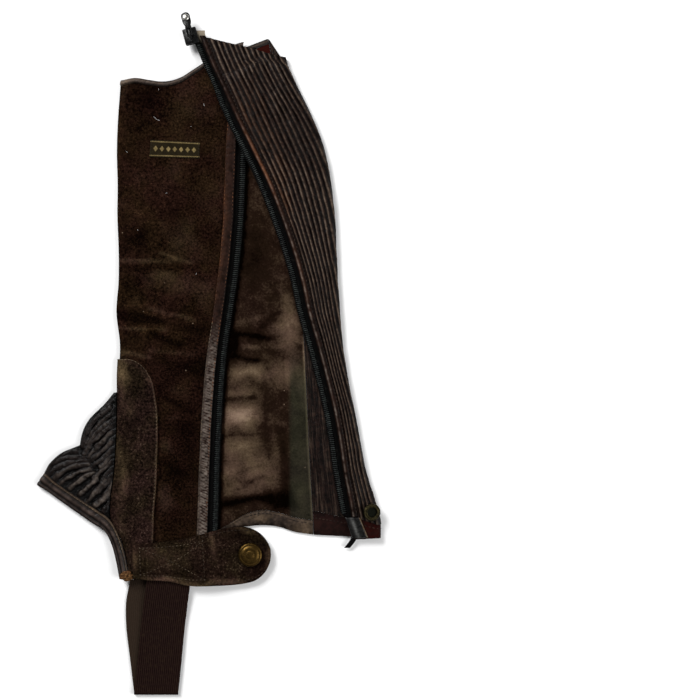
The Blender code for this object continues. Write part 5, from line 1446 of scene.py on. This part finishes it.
TAB_WEAR = (
    (-36, -169, 18, 3, 0.6), (-10, -172, 14, 2.5, 0.5), (20, -171, 20, 2.0, 0.3),
    (-54, -151, 3, 9, 0.34), (4.5, -141, 2.2, 12, 0.28), (-32, -152, 18, 8, 0.12),
    (-38, -146, 8, 3, 0.14), (32, -131, 10, 1.6, 0.25), (46, -150, 2, 10, 0.3))
TAB_SUEDE = suede_finish("tab_suede", (7, 4, 3), (31, 23, 16), (84, 72, 56), 0.60)
snap_tab = shell("heel_tab", tab_point, even(121), even(43),
                 {"worn": lambda u, v, depth, x, y: spots(x, y, TAB_WEAR)}, cloth_size=(0.105, 0.036))
dressed(snap_tab, TAB_SUEDE, "suede", "snap_tab")
left, right, low, high = 0.05, 0.47, 0.13, 0.87   # the crossed box, in shares of the tab
crossed = [(np.linspace(start, end, 60), np.linspace(low, high, 60))
           for start, end in ((left, right), (right, left))]
edges = [between(right, 0.93, height, 160) for height in (0.055, 0.945)]
seam("tab_box", tab_point, boxed(left, right, low, high, 60, 60) + crossed, PALE_THREAD, "suede",
     pitch=2.7, length=1.7, width=0.38, lift=-0.06)
seam("tab_edge", tab_point, edges, DARK_THREAD, "suede", pitch=2.7, length=1.8, width=0.4, lift=0.0)

# Stirrup strap. A loop of wide ribbed elastic passes under the boot; it is sewn into the front's
# foot edge and the back's, lies pressed flat with its fold away from the foot, and is a little dusty.
STRAP = np.array(((-255.5, -55.0, -55.0), (-226.0, -58.5, -52.0), (-205.0, -61.0, -50.0),
                  (-186.0, -61.2, -47.6), (-168.0, -58.2, -45.4), (-150.0, -58.2, -45.4)))
STRAP_WIDTH, STRAP_FOLD, STRAP_AT_HEM, ELASTIC_WALL = 33.0, 3.2, 5.2, 1.3
STRAP_LEGS = (8, 4, 8)                # shares of the strap: back run, fold, front run
ELASTIC_RIBS, ELASTIC_RELIEF = 22, 0.16
RIB_WAVE, KNIT_WAVE = 2094.4, 7000.0  # radians a metre, across the strap and along it
strap_back, strap_front = spline(STRAP[:, 0], STRAP[:, 1]), spline(STRAP[:, 0], STRAP[:, 2])


def strap_point(u, v, depth):
    leg, share = legs(v, STRAP_LEGS)
    low, radius = STRAP[0, 0], STRAP_FOLD / 2
    angle = np.pi * (1.5 - share)
    wall = radius - depth * ELASTIC_WALL
    back_x = strap_back(mix(PANEL_LOW, low, share)) + u * STRAP_WIDTH
    back_y = mix(hem_low(back_x) - 1.2, low + radius, share)
    front_x = strap_front(PANEL_LOW) + u * STRAP_WIDTH
    front_y = mix(low + radius, mix(PANEL_LOW, ZIP_LOW, (front_x + 54) / 52) - GAP, share)
    top = mix(STRAP_FOLD, STRAP_AT_HEM, smooth(share * 2.5 - 1.5))
    yarn = (1 - depth) * ELASTIC_RELIEF * np.abs(np.sin(np.pi * u * ELASTIC_RIBS))
    left = np.choose(leg, (strap_back(back_y), STRAP[0, 1], strap_front(front_y)))
    y = np.choose(leg, (back_y, low + radius + wall * np.cos(angle), front_y))
    height = np.choose(leg, (depth * ELASTIC_WALL, radius + wall * np.sin(angle),
                             top - depth * ELASTIC_WALL - ELASTIC_RELIEF + yarn))
    return point(left + u * STRAP_WIDTH, y, height)


def elastic_finish():
    """Knitted elastic: narrow ribs along it, each crossed by tiny stitches, a little dusty."""
    material, tree, where = finish("elastic", 0.92, 0.0)
    across, up = on_cloth(tree)
    ribs = maths(tree, "ABSOLUTE", maths(tree, "SINE", times(tree, across, RIB_WAVE)))
    knit = maths(tree, "SINE", times(tree, up, KNIT_WAVE))
    weave = times(tree, ribs, level(tree, knit, -1.0, 1.0, 0.55, 1.0))
    dust = speckle(tree, where, 420, 4.0, 0.8)
    colour = tinted(tree, weave, (6, 3, 3), (40, 27, 24))
    colour = tinted(tree, level(tree, dust, 0.50, 0.80, 0.0, 0.35), colour, (58, 46, 32))
    colour = tinted(tree, times(tree, mark(tree, "worn"), 0.5), colour, (54, 45, 36))
    return surfaced(material, colour, weave, 0.25)


strap = shell("stirrup_elastic", strap_point, even(89), shares(STRAP_LEGS, (34, 10, 34)),
              {"worn": lambda u, v, depth, x, y: v < 0.42}, cloth_size=(0.033, 0.2))
dressed(strap, elastic_finish(), "elastic", "stirrup_strap")

# Press stud. Its domed cap of antique brass has a rolled rim and two plain rings; the socket under
# the tab and the one on the gathered panel are spun rings with a hollow for the stud.
def turned(name, profile, steps, place, shaded_well=0.0):
    """A round piece: a closed profile of (radius, height) turned about Z, with painted shade inside its
    well.
    """
    profile = np.array(profile, float)
    angles = np.linspace(0, 2 * np.pi, steps, endpoint=False)
    mesh = bpy.data.meshes.new(name)
    made = bmesh.new()
    rings, shaded_wells = [], []
    for radius, height in profile:
        shaded_wells.extend([float(radius < shaded_well)] * (1 if radius < 1e-6 else steps))
        if radius < 1e-6:
            rings.append([made.verts.new((0, 0, height * MM))] * steps)
        else:
            ring = [Vector((radius * math.cos(a), radius * math.sin(a), height)) for a in angles]
            rings.append([made.verts.new(corner * MM) for corner in ring])
    for upper, lower in zip(rings, rings[1:]):
        for i in range(steps):
            corners = [upper[i], lower[i], lower[(i + 1) % steps], upper[(i + 1) % steps]]
            corners = [corner for n, corner in enumerate(corners) if corner not in corners[:n]]
            if len(corners) > 2:
                made.faces.new(corners)
    bmesh.ops.recalc_face_normals(made, faces=made.faces)
    made.transform(place)
    made.to_mesh(mesh)
    made.free()
    mesh.attributes.new("shaded_well", "FLOAT", "POINT").data.foreach_set("value", shaded_wells)
    mesh.shade_smooth()
    mesh.set_sharp_from_angle(angle=math.radians(SHARP_BRASS))
    return placed(name, mesh)


def metal_finish(name, dark, face, bright, roughness, wear=0.5):
    """Plated metal: mottled patina, small bright rubs, and painted shade inside a socket's well."""
    material, tree, where = finish(name, roughness, 0.5)
    tree.nodes["Principled BSDF"].inputs["Metallic"].default_value = 1.0
    patina = speckle(tree, where, 260, 4.0, 0.65)
    drawn_out = add(tree, "Mapping", {"Vector": where, "Scale": (1.0, 6.0, 1.0)}).outputs[0]
    scratches = speckle(tree, drawn_out, 700, 2.0)
    colour = tinted(tree, level(tree, patina, 0.36, 0.64), dark, face)
    colour = tinted(tree, level(tree, scratches, 0.58, 0.7, 0.0, wear), colour, bright)
    # painted shade: the well of a socket nearly black
    colour = tinted(tree, mark(tree, "shaded_well"), colour, (14, 15, 11))
    shine = level(tree, patina, 0.3, 0.7, roughness + 0.15, roughness - 0.05)
    return surfaced(material, colour, patina, 0.06, shine)


def base_of(node):
    """The move to the middle of a node's base."""
    low, high = (np.array(corner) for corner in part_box(node))
    return Matrix.Translation((*(low + high)[:2] / 2, low[2]))


BRASS = metal_finish("antique_brass", (44, 32, 13), (80, 61, 29), (140, 111, 60), 0.38)
SOCKET_BRASS = metal_finish("socket_brass", (20, 18, 11), (48, 43, 27), (100, 91, 60), 0.42)
CAP_PROFILE = (
    (0, 3.2), (1.6, 3.18), (2.8, 3.05), (3.2, 2.82), (3.5, 2.8), (4.0, 2.95), (5.2, 2.82), (6.2, 2.55),
    (6.6, 2.2), (7.0, 2.15), (7.5, 2.35), (8.1, 2.25), (8.6, 1.9), (9.0, 1.25), (8.98, 0.7),
    (8.7, 0.3), (8.2, 0.0), (0, 0.0))
SOCKET_RADIUS, SOCKET_WELL = 6.5, 3.6
SOCKET_PROFILE = np.array((
    # shares of a socket's radius and height
    (0, 0.35), (0.52, 0.38), (0.57, 0.9), (0.62, 1.0), (0.68, 1.0), (0.74, 0.86), (0.84, 0.84),
    (0.92, 0.95), (0.97, 0.86), (1.0, 0.5), (0.99, 0.2), (0.96, 0), (0, 0)))
cap = turned("press_stud_cap", CAP_PROFILE, 64, base_of("snap_cap"))
dressed(cap, BRASS, "antique_brass", "snap_cap")
CALF_SOCKET, CALF_TILT = (123.4, -117.6, 7.95), 12
tilt = Matrix.Rotation(math.radians(CALF_TILT), 4, "Y")
on_ribs = Matrix.Translation(Vector(CALF_SOCKET) * MM) @ tilt
for name, height, place, node in (("tab_socket_ring", 3.4, base_of("tab_socket"), "tab_socket"),
                                  ("calf_socket_ring", 2.4, on_ribs, "calf_socket")):
    ring = turned(name, SOCKET_PROFILE * (SOCKET_RADIUS, height), 48, place, SOCKET_WELL)
    dressed(ring, SOCKET_BRASS, "antique_brass", node)

# Slider and pull: cast black metal worn grey at its edges, its pull hung on the slider's arch and
# closed by a bright rivet.
def eased(name, node, width):
    """The node's own shape with its edges rounded."""
    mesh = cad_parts[node].data.copy()
    mesh.name = name
    merged = bmesh.new()
    merged.from_mesh(mesh)
    bmesh.ops.remove_doubles(merged, verts=merged.verts, dist=2e-6)
    bmesh.ops.dissolve_limit(merged, angle_limit=math.radians(1), verts=merged.verts,
                             edges=merged.edges)
    merged.to_mesh(mesh)
    merged.free()
    piece = placed(name, mesh)
    edge = piece.modifiers.new("edges", "BEVEL")
    edge.width, edge.segments, edge.angle_limit = width * MM, 2, math.radians(35)
    settled(piece).data.set_sharp_from_angle(angle=math.radians(SHARP_CAST))
    return piece


BLACK_METAL = metal_finish("black_metal", (20, 20, 20), (34, 34, 34), (110, 110, 108), 0.34, wear=0.6)
NICKEL = metal_finish("nickel", (150, 148, 142), (196, 194, 188), (232, 230, 226), 0.22)
dressed(eased("slider_body", "zip_slider", 0.12), BLACK_METAL, "black_metal", "zip_slider")
dressed(eased("pull_tongue", "zip_pull", 0.2), BLACK_METAL, "black_metal", "zip_pull", body="zip_pull")
dressed(eased("pull_stud", "pull_rivet", 0.05), NICKEL, "nickel", "pull_rivet", body="zip_pull")

# Lint. A few short, pale textile fibres cling to the nap of the front after it brushed against
# other cloth; the longest lies curled, and the rest are specks.
LINT = (
    ((-39.8, 178.6), (-37.6, 176.6), (-35.6, 175.8)), ((-2.6, 188.2), (-2.0, 187.0)),
    ((-36.4, 199.4), (-35.9, 198.7)), ((-60.2, 152.6), (-59.8, 152.0)),
    ((-30.6, 121.4), (-29.9, 121.6)), ((-12.0, 171.2), (-11.7, 171.8)),
    ((-52.4, 94.0), (-51.8, 93.6)), ((-8.2, 60.6), (-7.9, 61.2)))
LINT_SIZE, LINT_PITCH, LINT_LIFT = (0.22, 0.07, 0.07), 0.3, 0.35


def lint_finish():
    """Pale textile fibre, matt and hardly uneven."""
    material, tree, where = finish("lint", 1.0, 0.0)
    shade = speckle(tree, where, 900, 2.0)
    return surfaced(material, tinted(tree, shade, (229, 229, 229), (233, 233, 233)))


FIBRE = lint_finish()
fibres = [[(x, y, front_height(x, y) + LINT_LIFT) for x, y in path] for path in LINT]
dressed(dashes("lint", fibres, FIBRE, LINT_PITCH, LINT_SIZE, 0.2), FIBRE, "suede")

# Studio. A plain pale floor lies under the piece, below a soft white sky and two wide soft lights
# from beyond the knee and from the right; the camera looks straight down.
PIXEL, PIXELS = 0.75, 700             # millimetres that a pixel shows, and pixels along a side
ORIGIN = (207, 355)                   # the pixel over the frame's origin
VIEW = Vector(((PIXELS / 2 - ORIGIN[0]) * PIXEL, (ORIGIN[1] - PIXELS / 2) * PIXEL, 5.0)) * MM
LENS, SENSOR = 85.0, 36.0
LIGHTS = (
    # name, place, width, power
    ("window_light", (-0.9, 1.1, 1.3), 0.9, 44.0), ("side_light", (1.4, -0.4, 1.2), 1.2, 24.0))
bpy.ops.mesh.primitive_plane_add(size=6, location=(0, 0, -0.0002))
floor = bpy.context.object
floor.name = "floor"
material, tree, where = finish("pale_floor", 0.9, 0.1)
paper = tinted(tree, speckle(tree, where, 40, 2.0), (243, 243, 243), (247, 247, 247))
floor.data.materials.append(surfaced(material, paper))
floor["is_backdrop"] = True
world = bpy.data.worlds.new("studio")
bpy.context.scene.world = world
world.use_nodes = True
sky = world.node_tree.nodes["Background"].inputs
sky["Color"].default_value, sky["Strength"].default_value = (1.0, 1.0, 1.0, 1.0), 0.20
for name, place, size, power in LIGHTS:
    light = bpy.data.lights.new(name, "AREA")
    light.size, light.energy = size, power
    lamp = placed(name, light)
    lamp.location = place
    lamp.rotation_euler = (-Vector(place)).to_track_quat("-Z", "Y").to_euler()
lens = bpy.data.cameras.new("camera")
lens.lens, lens.sensor_width = LENS, SENSOR
camera = placed("camera", lens)
camera.location = VIEW + Vector((0, 0, PIXELS * PIXEL * MM * LENS / SENSOR))
bpy.context.scene.camera = camera
bpy.context.scene.view_settings.view_transform = "Standard"

low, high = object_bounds()
